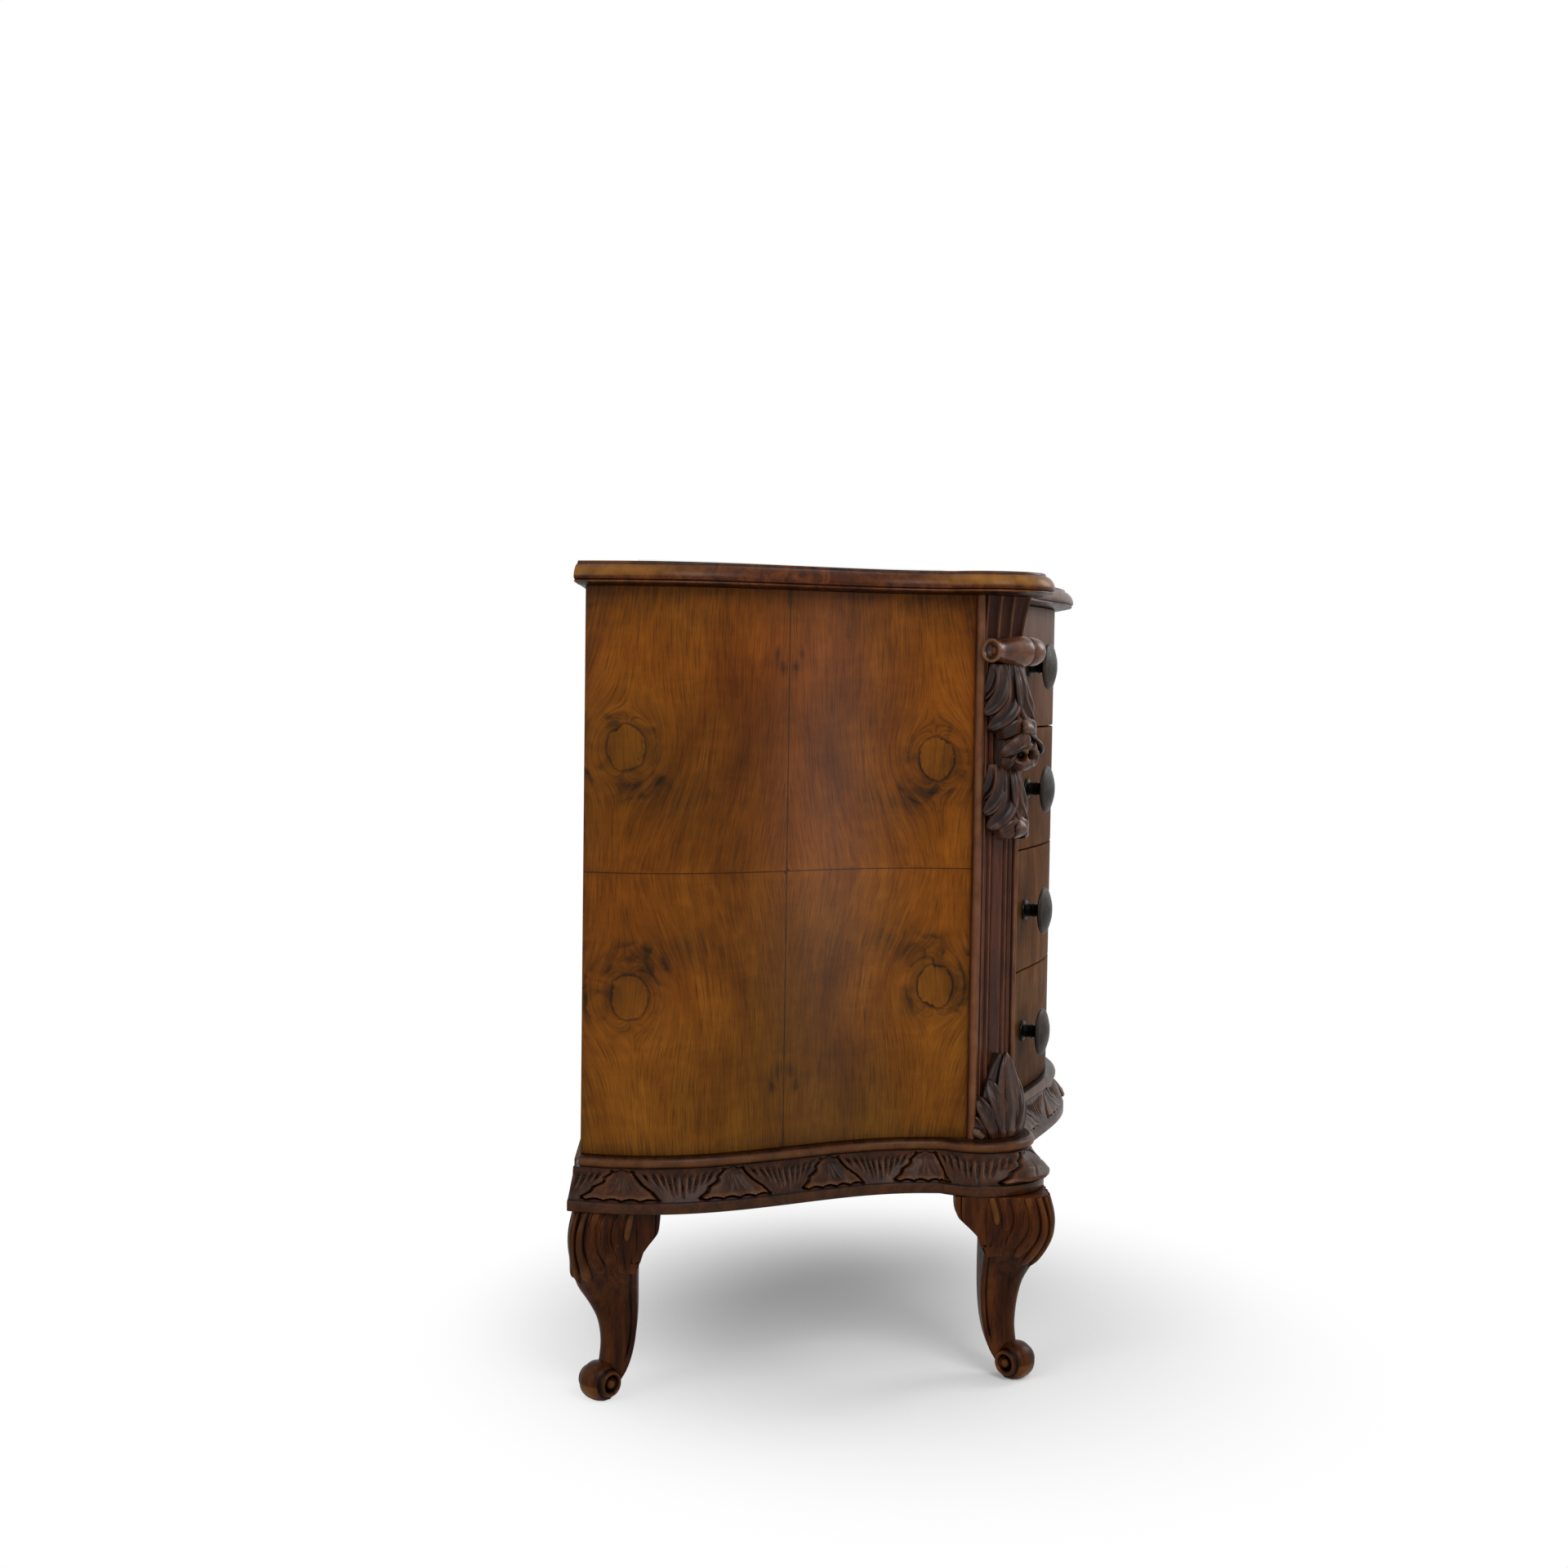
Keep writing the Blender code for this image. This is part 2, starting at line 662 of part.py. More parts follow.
def leg_mesh():
    """One cabriole leg: squares with rounded corners, stacked, whose outer faces swell at the knee.

    The leg's inner corner edge stands near its own x = y = 0, and the leg grows along +x and +y. Its
    scroll and its two knee brackets are joined to it.
    """
    rings = []
    swell = LEG_KNEE - LEG_ANKLE
    quarter = np.linspace(0.0, math.pi / 2, ARC_STEPS + 1)
    for level, out, back in LEG_SHARES:
        low = -back * LEG_ANKLE
        high = LEG_ANKLE + out * swell
        radius = LEG_ROUND_SHARE * (high - low)
        near, far = low + radius, high - radius
        corners = ((far, far, 0), (near, far, 1), (near, near, 2), (far, near, 3))
        ring = []
        for x, y, turns in corners:
            angle = quarter + turns * math.pi / 2
            ring += zip(x + radius * np.cos(angle), y + radius * np.sin(angle))
        ring = np.array(ring)
        height = level * (LEG_HEIGHT - SEAT_GAP)
        rings.append(np.column_stack([ring, np.full(len(ring), height)]))
    shaft = add_loft("leg_shaft", rings, "dark_walnut")
    joined = [add_scroll()] + [add_knee_bracket(turned) for turned in (False, True)]
    for thing in joined:
        join = shaft.modifiers.new(thing.name, "BOOLEAN")
        join.operation = "UNION"
        join.solver = "EXACT"
        join.object = thing
    mesh = bpy.data.meshes.new_from_object(shaft.evaluated_get(bpy.context.evaluated_depsgraph_get()))
    mesh.name = "leg"
    for thing in [shaft] + joined:
        bpy.data.objects.remove(thing)
    return mesh


def add_scroll():
    """The toe's scroll: a short cylinder across the leg's diagonal, flat where it stands."""
    turn = np.linspace(0.0, math.tau, ROUND_STEPS, endpoint=False)
    centre = LEG_ANKLE * SCROLL_FORWARD_SHARE
    away = centre + SCROLL_RADIUS * np.cos(turn) * DIAGONAL
    height = np.maximum(SCROLL_RADIUS - SCROLL_FLAT + SCROLL_RADIUS * np.sin(turn), 0.0)
    rings = []
    for end in (-SCROLL_WIDTH / 2, SCROLL_WIDTH / 2):
        rings.append(np.column_stack([away + end * DIAGONAL, away - end * DIAGONAL, height]))
    return add_loft("leg_scroll", rings, "dark_walnut")


def add_knee_bracket(turned):
    """The shaped bracket beside a knee: its profile hangs under the plinth, along one face of the leg."""
    top = LEG_HEIGHT - SEAT_GAP
    face = LEG_KNEE - KNEE_BRACKET_SETBACK
    profile = [(-KNEE_BRACKET_ROOT_SHARE, 0.0)] + list(KNEE_BRACKET_SHARES)
    profile += [(-KNEE_BRACKET_ROOT_SHARE, 1.0)]
    rings = []
    for depth in (face - KNEE_BRACKET_THICKNESS, face):
        ring = []
        for reach, fall in profile:
            place = (-reach * KNEE_BRACKET_LENGTH, depth)
            ring.append((*(place[::-1] if turned else place), top - fall * KNEE_BRACKET_HEIGHT))
        rings.append(ring)
    return add_loft("knee_bracket", rings, "dark_walnut")


def add_legs():
    """Four equal legs, each turned so that its knee points out along the case's diagonal."""
    mesh = leg_mesh()
    front_ankle = POST_FRONT_U - LEG_FROM_FRONT
    back_ankle = LEG_KNEE - LEG_BACK_REACH
    front_x = POST_SIDE_X - LEG_FROM_FRONT
    back_x = side_x(back_ankle - LEG_KNEE / 2) + PLINTH_FLARE - LEG_KNEE
    for side, label in ((-1, "left"), (1, "right")):
        for name, x, u, forward in (
            ("front", front_x, front_ankle, -1),
            ("back", back_x, back_ankle, 1),
        ):
            leg = add_object(f"leg_{name}_{label}", mesh.copy(), "dark_walnut", 40)
            leg.location = (side * x, BACK_Y - u, 0.0)
            leg.scale = (side, forward, 1)


def add_knob(name, x, middle):
    """A turned mushroom knob whose stem stands square to the drawer's face."""
    station = front_stations(x, x + SEAT_GAP, 2)[0]
    start = station[:2] + station[2:] * SEAT_GAP * 2
    turn = np.linspace(0.0, math.tau, ROUND_STEPS, endpoint=False)
    sideways = np.array([-station[3], station[2]])
    rings = []
    for reach, radius in KNOB_SHARES:
        centre = start + station[2:] * reach * KNOB_REACH
        away = radius * KNOB_RADIUS
        plan = centre + np.outer(away * np.cos(turn), sideways)
        rings.append(
            np.column_stack([plan[:, 0], BACK_Y - plan[:, 1], middle + away * np.sin(turn)])
        )
    return add_loft(name, rings, "bronze", 40)


def add_drawer(number):
    """One drawer: a shaped front, two grooved sides, a back, a bottom in the grooves and two knobs."""
    name = f"drawer_{number}_"
    low = CASE_Z + (DRAWERS - number) * DRAWER_PITCH
    runner = CASE_Z if number == DRAWERS else low + SHELF_THICKNESS / 2
    slide = bpy.data.objects.new(name + "slide", None)
    bpy.context.scene.collection.objects.link(slide)
    slide.location = (0.0, 0.0, low + DRAWER_PITCH / 2)
    placed = []
    x = front_facets()
    face = np.column_stack([x, front_u(x)])
    inner = np.column_stack([x[::-1], front_u(x[::-1]) - FRONT_THICKNESS])
    front_low = low + FRONT_REVEAL / 2
    front_high = low + DRAWER_PITCH - FRONT_REVEAL / 2
    plan = np.concatenate([face, inner])
    placed.append(add_board(name + "front", plan, front_low, front_high, "drawer_veneer", 40))
    box_low = runner + SEAT_GAP
    box_high = box_low + BOX_HEIGHT
    box_front = FRONT_DEPTH - FRONT_THICKNESS - SEAT_GAP
    box_back = BACK_THICKNESS + BOX_BACK_CLEARANCE
    groove_low = box_low + BOX_BOTTOM_RISE
    groove_high = groove_low + BOX_BOTTOM + SEAT_GAP * 2
    inner_x = BOX_HALF_WIDTH - BOX_BOARD
    groove_x = inner_x + BOX_GROOVE
    section = (
        (inner_x, box_low),
        (BOX_HALF_WIDTH, box_low),
        (BOX_HALF_WIDTH, box_high),
        (inner_x, box_high),
        (inner_x, groove_high),
        (groove_x, groove_high),
        (groove_x, groove_low),
        (inner_x, groove_low),
    )
    for side, label in ((-1, "left"), (1, "right")):
        rings = [[(side * x, BACK_Y - u, z) for x, z in section] for u in (box_front, box_back)]
        placed.append(add_loft(name + "side_" + label, rings, "drawer_wood"))
    floor_end = groove_x - SEAT_GAP
    floor_inner = inner_x - SEAT_GAP
    floor = np.concatenate(
        [
            [(-floor_end, box_back), (-floor_end, box_front)],
            behind_front(-floor_inner, floor_inner, FRONT_THICKNESS + SEAT_GAP),
            [(floor_end, box_front), (floor_end, box_back)],
        ]
    )
    floor_low = groove_low + SEAT_GAP
    floor_high = floor_low + BOX_BOTTOM
    placed.append(add_board(name + "bottom", floor, floor_low, floor_high, "drawer_wood"))
    back_half = inner_x - SEAT_GAP
    placed.append(
        add_board(
            name + "back",
            rectangle(-back_half, back_half, box_back, box_back + BOX_BOARD),
            floor_high + SEAT_GAP,
            box_high - BOX_BACK_DROP,
            "drawer_wood",
        )
    )
    for side, label in ((-1, "left"), (1, "right")):
        placed.append(add_knob(f"{name}knob_{label}", side * KNOB_FROM_CENTRE, low + DRAWER_PITCH / 2))
    bpy.context.view_layer.update()
    for thing in placed:
        thing.parent = slide
        thing.matrix_parent_inverse = slide.matrix_world.inverted()


clear_scene()
FINISHES = make_materials()
add_top()
add_case()
add_plinth()
for post_side, post_label in ((-1, "left"), (1, "right")):
    add_post(post_side, post_label)
    add_post_carving(post_side, post_label)
add_legs()
for drawer in range(1, DRAWERS + 1):
    add_drawer(drawer)
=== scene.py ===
import json
import math

import bmesh
import bpy
import numpy as np
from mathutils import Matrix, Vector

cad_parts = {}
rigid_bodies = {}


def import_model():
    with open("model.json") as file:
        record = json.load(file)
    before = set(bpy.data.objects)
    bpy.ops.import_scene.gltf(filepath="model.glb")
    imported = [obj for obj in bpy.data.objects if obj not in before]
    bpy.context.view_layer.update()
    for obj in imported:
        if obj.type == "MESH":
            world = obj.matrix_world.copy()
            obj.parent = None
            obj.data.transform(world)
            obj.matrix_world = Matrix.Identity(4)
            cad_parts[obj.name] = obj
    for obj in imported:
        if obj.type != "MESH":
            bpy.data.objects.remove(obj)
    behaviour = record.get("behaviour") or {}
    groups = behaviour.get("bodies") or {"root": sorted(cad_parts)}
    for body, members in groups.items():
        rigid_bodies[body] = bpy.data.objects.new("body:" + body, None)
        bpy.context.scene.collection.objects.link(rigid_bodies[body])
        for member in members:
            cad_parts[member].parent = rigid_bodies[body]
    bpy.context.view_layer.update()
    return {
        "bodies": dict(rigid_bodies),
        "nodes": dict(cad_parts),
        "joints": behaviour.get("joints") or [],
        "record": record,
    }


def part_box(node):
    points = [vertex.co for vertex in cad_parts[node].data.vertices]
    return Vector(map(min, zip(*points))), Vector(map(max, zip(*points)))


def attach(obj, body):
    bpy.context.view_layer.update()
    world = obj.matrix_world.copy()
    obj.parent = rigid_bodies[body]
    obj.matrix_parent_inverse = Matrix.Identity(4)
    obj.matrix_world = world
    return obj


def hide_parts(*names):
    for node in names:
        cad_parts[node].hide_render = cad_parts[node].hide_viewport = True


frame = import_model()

# Camera. It stands at the photograph's place, 2.1 m from the left side of the chest and almost
# square to it, at the height of the top drawer, with a normal lens.
PHOTO_SIDE = 1920
camera_place = np.array([-2.656, 0.1512, 0.7533])
camera_focus_px = 2512.7
camera_yaw, camera_pitch, camera_roll = -0.0318, -0.0505, 0.0144
camera_data = bpy.data.cameras.new("photo_camera")
camera_data.sensor_width = 36.0
camera_data.lens = camera_focus_px / PHOTO_SIDE * camera_data.sensor_width
camera = bpy.data.objects.new("photo_camera", camera_data)
bpy.context.scene.collection.objects.link(camera)
ahead = np.array(
    [
        math.cos(camera_pitch) * math.cos(camera_yaw),
        math.cos(camera_pitch) * math.sin(camera_yaw),
        math.sin(camera_pitch),
    ]
)
level_right = np.array([math.sin(camera_yaw), -math.cos(camera_yaw), 0.0])
level_up = np.cross(level_right, ahead)
tilted_right = math.cos(camera_roll) * level_right + math.sin(camera_roll) * level_up
tilted_up = math.cos(camera_roll) * level_up - math.sin(camera_roll) * level_right
camera_matrix = np.eye(4)
camera_matrix[:3, 0] = tilted_right
camera_matrix[:3, 1] = tilted_up
camera_matrix[:3, 2] = -ahead
camera_matrix[:3, 3] = camera_place
camera.matrix_world = camera_matrix.T.tolist()
bpy.context.scene.camera = camera


# Studio. A white floor that runs back to a white surround, two large soft lamps on the camera's
# side, and one in front of the drawers. The floor keeps the chest's soft shadow.
LAMP_AIM, LAMP_SIZE = (0.0, 0.0, 0.5), 1.6
WHITE, SURROUND_LIGHT = (1.0, 1.0, 1.0, 1.0), 0.60
FLOOR_HALF, FLOOR_COLOUR, FLOOR_GLOW = 30.0, (0.90, 0.90, 0.90, 1.0), 0.15
SHADOW_SHIFT, SHADOW_SPAN = (0.30, 0.07, 0.0), (0.64, 0.57, 1.0)
SHADOW_INNER, SHADOW_OUTER = 0.30, 1.02


def add_node(tree, kind, sockets=None, **settings):
    """A node with its settings, whose input sockets take the values or the links given."""
    made = tree.nodes.new(kind)
    for name, value in settings.items():
        setattr(made, name, value)
    for name, value in (sockets or {}).items():
        if isinstance(value, bpy.types.NodeSocket):
            tree.links.new(value, made.inputs[name])
        else:
            made.inputs[name].default_value = value
    return made


def calculate(tree, operation, first, second, clamp=False):
    """Two values joined by the operation named: their product, sum, or the larger of them."""
    sockets = {0: first, 1: second}
    joined = add_node(tree, "ShaderNodeMath", sockets, operation=operation, use_clamp=clamp)
    return joined.outputs[0]


def add_soft_lamp(name, place, power):
    """A square soft box that looks from its place to the middle of the chest."""
    data = bpy.data.lights.new(name, "AREA")
    data.shape = "SQUARE"
    data.size = LAMP_SIZE
    data.energy = power
    lamp = bpy.data.objects.new(name, data)
    bpy.context.scene.collection.objects.link(lamp)
    lamp.location = place
    way = np.array(LAMP_AIM) - np.array(place)
    tilt = math.pi / 2 + math.atan2(way[2], math.hypot(way[0], way[1]))
    lamp.rotation_euler = (tilt, 0.0, math.atan2(-way[0], way[1]))
    lamp.visible_camera = False


add_soft_lamp("key_lamp", (-2.9, -1.1, 2.7), 46.0)
add_soft_lamp("fill_lamp", (-2.6, 2.4, 1.9), 18.0)
add_soft_lamp("front_lamp", (1.2, -3.4, 2.3), 40.0)

world = bpy.data.worlds.new("white_surround")
bpy.context.scene.world = world
world.use_nodes = True
sky = world.node_tree
sky.nodes.clear()
ray = add_node(sky, "ShaderNodeLightPath")
seen = calculate(sky, "MAXIMUM", ray.outputs["Is Camera Ray"], ray.outputs["Is Glossy Ray"])
seen = calculate(sky, "MAXIMUM", seen, ray.outputs["Is Transmission Ray"])
dim = add_node(sky, "ShaderNodeBackground", {"Color": WHITE, "Strength": SURROUND_LIGHT})
bright = add_node(sky, "ShaderNodeBackground", {"Color": WHITE, "Strength": 1.0})
shown = add_node(sky, "ShaderNodeMixShader", {0: seen, 1: dim.outputs[0], 2: bright.outputs[0]})
add_node(sky, "ShaderNodeOutputWorld", {"Surface": shown.outputs[0]})

floor_corners = [
    (x * FLOOR_HALF, y * FLOOR_HALF, 0.0) for x, y in ((-1, -1), (1, -1), (1, 1), (-1, 1))
]
floor_mesh = bpy.data.meshes.new("studio_floor")
floor_mesh.from_pydata(floor_corners, [], [(0, 1, 2, 3)])
floor = bpy.data.objects.new("studio_floor", floor_mesh)
bpy.context.scene.collection.objects.link(floor)
floor_paint = bpy.data.materials.new("white_floor")
floor_paint.use_nodes = True
tree = floor_paint.node_tree
tree.nodes.clear()
ray = add_node(tree, "ShaderNodeLightPath")
matt = add_node(tree, "ShaderNodeBsdfDiffuse", {"Color": FLOOR_COLOUR})
glow = add_node(tree, "ShaderNodeEmission", {"Color": WHITE, "Strength": 1.0})
spot = add_node(tree, "ShaderNodeTexCoord").outputs["Object"]
for operation, value in (("ADD", SHADOW_SHIFT), ("DIVIDE", SHADOW_SPAN)):
    spot = add_node(tree, "ShaderNodeVectorMath", {0: spot, 1: value}, operation=operation)
    spot = spot.outputs[0]
away = add_node(tree, "ShaderNodeVectorMath", {0: spot}, operation="LENGTH").outputs["Value"]
reach = {"Value": away, "From Min": SHADOW_INNER, "From Max": SHADOW_OUTER, "To Min": FLOOR_GLOW}
fade = add_node(tree, "ShaderNodeMapRange", reach, interpolation_type="SMOOTHSTEP").outputs[0]
fade = calculate(tree, "MULTIPLY", fade, ray.outputs["Is Camera Ray"])
both = add_node(tree, "ShaderNodeMixShader", {0: fade, 1: matt.outputs[0], 2: glow.outputs[0]})
add_node(tree, "ShaderNodeOutputMaterial", {"Surface": both.outputs[0]})
floor_mesh.materials.append(floor_paint)
bpy.context.scene.view_settings.view_transform = "Standard"


# Top board. A thick walnut board with a serpentine front, S-curved sides and a rounded ear over
# each front post. From the top down its edge is run with a small set-back fillet, a broad
# ovolo, a quirk and a thin bead over a step.
CENTRE_Y = float(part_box("back_panel")[1][1])
HOLLOW_HALF_WIDTH, SIDE_WAVE, SIDE_CREST, SIDE_HALF_WAVE = 0.459, 0.097, 0.067, 0.300
FRONT_DEPTH, FRONT_WAVE, FRONT_HALF_WAVE = 0.4625, 0.105, 0.372
EAR_CENTRE, EAR_RADIUS, EAR_FILLET = (0.4253, 0.4278), 0.050, 0.030
TOP_BACK = -0.006
CURVE_STEPS, EAR_STEPS, FILLET_STEPS = 160, 72, 14
# Where the edge is painted paler, as wear from hands and a painted highlight, at its back corner
# and round the ear: how far forward, size
LIT_WORN_BACK, LIT_WORN_EAR, LIT_WORN_LEAST = (0.0, 0.10), (0.44, 0.075), 0.15


def heights(node):
    """The lower and the upper height of a CAD node."""
    low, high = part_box(node)
    return float(low[2]), float(high[2])


def front_depth(x):
    """The drawers' face: hollow depth plus half the wave times one plus the cosine of x."""
    share = np.minimum(np.abs(x) / FRONT_HALF_WAVE, 1.0)
    return FRONT_DEPTH + FRONT_WAVE / 2 * (1 + np.cos(math.pi * share))


def front_slope(x):
    """How fast that face falls back with x: the cosine's own slope."""
    share = np.minimum(np.abs(x) / FRONT_HALF_WAVE, 1.0)
    return -np.sign(x) * FRONT_WAVE / 2 * math.pi / FRONT_HALF_WAVE * np.sin(math.pi * share)


def side_face(u):
    """The side's face from front to back as rows of x, u and the outward normal.

    Its half width is the hollow's plus half the wave times one plus the cosine of u. The last row
    stands square to the back, so that a moulding ends in the back's plane.
    """
    u = np.asarray(u)
    share = np.minimum((u - SIDE_CREST) / SIDE_HALF_WAVE, 1.0)
    width = HOLLOW_HALF_WIDTH + SIDE_WAVE / 2 * (1 + np.cos(math.pi * share))
    slope = -SIDE_WAVE / 2 * math.pi / SIDE_HALF_WAVE * np.sin(math.pi * share)
    long = np.hypot(slope, 1)
    run = np.column_stack([width, u, 1 / long, -slope / long])
    run[-1, 2:] = (1 / run[-1, 2], 0.0)
    return run


def half_outline(back, radius=EAR_RADIUS, steps=CURVE_STEPS):
    """The plan's right half as x, u and the outward normal, from the front's centre to the back.

    The front is a cosine, then a hollow arc leads into the round ear and another out of it to the
    side, which is a cosine again. Normals are each curve's own, so an offset keeps its thickness.
    """
    ear = np.array(EAR_CENTRE)
    span = radius + EAR_FILLET
    front_rise = FRONT_DEPTH + EAR_FILLET - ear[1]
    front_hub = ear + (-math.sqrt(span**2 - front_rise**2), front_rise)
    side_rise = HOLLOW_HALF_WIDTH + EAR_FILLET - ear[0]
    side_hub = ear + (side_rise, -math.sqrt(span**2 - side_rise**2))
    to_front = math.atan2(front_hub[1] - ear[1], front_hub[0] - ear[0])
    to_side = math.atan2(side_hub[1] - ear[1], side_hub[0] - ear[0])

    def arc(hub, reach, first, last, count, way):
        """A round arc between two angles, without its first place, facing out or in by way."""
        angle = np.linspace(first, last, count)[1:]
        turn = np.column_stack([np.cos(angle), np.sin(angle)])
        return np.column_stack([hub + reach * turn, way * turn])

    x = np.linspace(0.0, FRONT_HALF_WAVE, steps)
    slope = front_slope(x)
    long = np.hypot(slope, 1)
    return np.concatenate(
        [
            np.column_stack([x, front_depth(x), -slope / long, 1 / long]),
            arc(front_hub, EAR_FILLET, -math.pi / 2, to_front - math.pi, FILLET_STEPS, -1),
            arc(ear, radius, to_front, to_side, EAR_STEPS, 1),
            arc(side_hub, EAR_FILLET, to_side + math.pi, math.pi, FILLET_STEPS, -1),
            side_face(np.linspace(SIDE_CREST + SIDE_HALF_WAVE, back, steps))[1:],
        ]
    )


def in_world(x, u, z):
    """Plan places and heights, which broadcast together, as world points."""
    x, u, z = np.broadcast_arrays(x, u, z)
    return np.stack([x, CENTRE_Y - u, z], axis=-1)


def add_surface(name, points, faces, attributes, smooth_angle=40.0, body="case"):
    """An object from points and faces that face out, with vertex attributes, on its body."""
    mesh = bpy.data.meshes.new(name)
    mesh.from_pydata(np.asarray(points, float).reshape(-1, 3).tolist(), [], faces)
    for label, values in attributes.items():
        values = np.asarray(values, np.float32)
        threefold = values.size == 3 * len(mesh.vertices)
        layer = mesh.attributes.new(label, "FLOAT_VECTOR" if threefold else "FLOAT", "POINT")
        layer.data.foreach_set("vector" if threefold else "value", values.ravel())
    shape = bmesh.new()
    shape.from_mesh(mesh)
    bmesh.ops.recalc_face_normals(shape, faces=shape.faces)
    shape.to_mesh(mesh)
    shape.free()
    mesh.shade_smooth()
    mesh.set_sharp_from_angle(angle=math.radians(smooth_angle))
    made = bpy.data.objects.new(name, mesh)
    bpy.context.scene.collection.objects.link(made)
    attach(made, body)
    return made


def grid_faces(rows, columns, wrap_columns=False, wrap_rows=False, start=0):
    """Quads over a grid of points in row order, closed round either way if asked."""
    index = np.arange(rows * columns).reshape(rows, columns) + start
    if wrap_columns:
        index = np.concatenate([index, index[:, :1]], axis=1)
    if wrap_rows:
        index = np.concatenate([index, index[:1]], axis=0)
    low, high = index[:-1], index[1:]
    quads = np.stack([low[:, :-1], low[:, 1:], high[:, 1:], high[:, :-1]], axis=-1)
    return quads.reshape(-1, 4).tolist()


def plate_faces(rows, columns):
    """A plate whose edge section, one to a row, goes all round it: the edge, then both flats."""
    flat = np.arange(rows) * columns
    edge = grid_faces(rows, columns, wrap_rows=True)
    return edge + [flat.tolist(), (flat[::-1] + columns - 1).tolist()]


def carried(stations, section, side=1):
    """The section's rows of distance and height carried along the stations, a ring to each."""
    section = np.asarray(section, float)
    x = side * (stations[:, None, 0] + section[None, :, 0] * stations[:, None, 2])
    u = stations[:, None, 1] + section[None, :, 0] * stations[:, None, 3]
    return in_world(x, u, section[None, :, 1])


def mirrored_outline(half):
    """The whole plan from its right half: across the front from left to right and round."""
    left = half[:0:-1].copy()
    left[:, [0, 2]] *= -1
    return np.concatenate([half, left])


def paint(red, green, blue):
    """A colour in display values of 0 to 255, as the linear values of a shader."""
    return tuple((value / 255) ** 2.2 for value in (red, green, blue)) + (1.0,)


def new_finish(name):
    """An empty material with its node tree, its shader and the object's own coordinates."""
    material = bpy.data.materials.new(name)
    material.use_nodes = True
    tree = material.node_tree
    place = add_node(tree, "ShaderNodeTexCoord").outputs["Object"]
    return material, tree, tree.nodes["Principled BSDF"], place


def noise(tree, place, scale, detail, roughness=0.5, distortion=0.0):
    """Fractal noise of the scale and detail given."""
    sockets = {"Vector": place, "Scale": scale, "Detail": detail}
    sockets.update({"Roughness": roughness, "Distortion": distortion})
    return add_node(tree, "ShaderNodeTexNoise", sockets).outputs["Fac"]


def stretched(tree, place, scale):
    """A place with each of its coordinates times its own scale."""
    sockets = {0: place, 1: scale}
    return add_node(tree, "ShaderNodeVectorMath", sockets, operation="MULTIPLY").outputs[0]


def vertex_value(tree, name, output="Fac"):
    """A value that the piece's mesh carries at each vertex."""
    return add_node(tree, "ShaderNodeAttribute", attribute_name=name).outputs[output]


def mix_colours(tree, factor, first, second, blend="MIX"):
    """The first colour mixed with the second, or multiplied by it, by the factor."""
    mixed = add_node(tree, "ShaderNodeMix", data_type="RGBA", blend_type=blend)
    for socket, value in ((0, factor), (6, first), (7, second)):
        if isinstance(value, bpy.types.NodeSocket):
            tree.links.new(value, mixed.inputs[socket])
        else:
            mixed.inputs[socket].default_value = value
    return mixed.outputs[2]


def colour_steps(tree, factor, stops):
    """A colour ramp with the given places and colours."""
    ramp = add_node(tree, "ShaderNodeValToRGB", {"Fac": factor})
    elements = ramp.color_ramp.elements
    while len(elements) < len(stops):
        elements.new(0.5)
    for element, (place, colour) in zip(elements, stops):
        element.position = place
        element.color = colour
    return ramp.outputs["Color"]


def spread(tree, value, low, high, to_low=0.0, to_high=1.0):
    """The value's range from low to high stretched to the new range and held there."""
    sockets = {"Value": value, "From Min": low, "From Max": high}
    sockets.update({"To Min": to_low, "To Max": to_high})
    return add_node(tree, "ShaderNodeMapRange", sockets).outputs["Result"]


def roughen(tree, shader, height, strength, distance):
    """A fine bump on the shader's surface from a height value."""
    sockets = {"Height": height, "Strength": strength, "Distance": distance}
    tree.links.new(add_node(tree, "ShaderNodeBump", sockets).outputs[0], shader.inputs["Normal"])


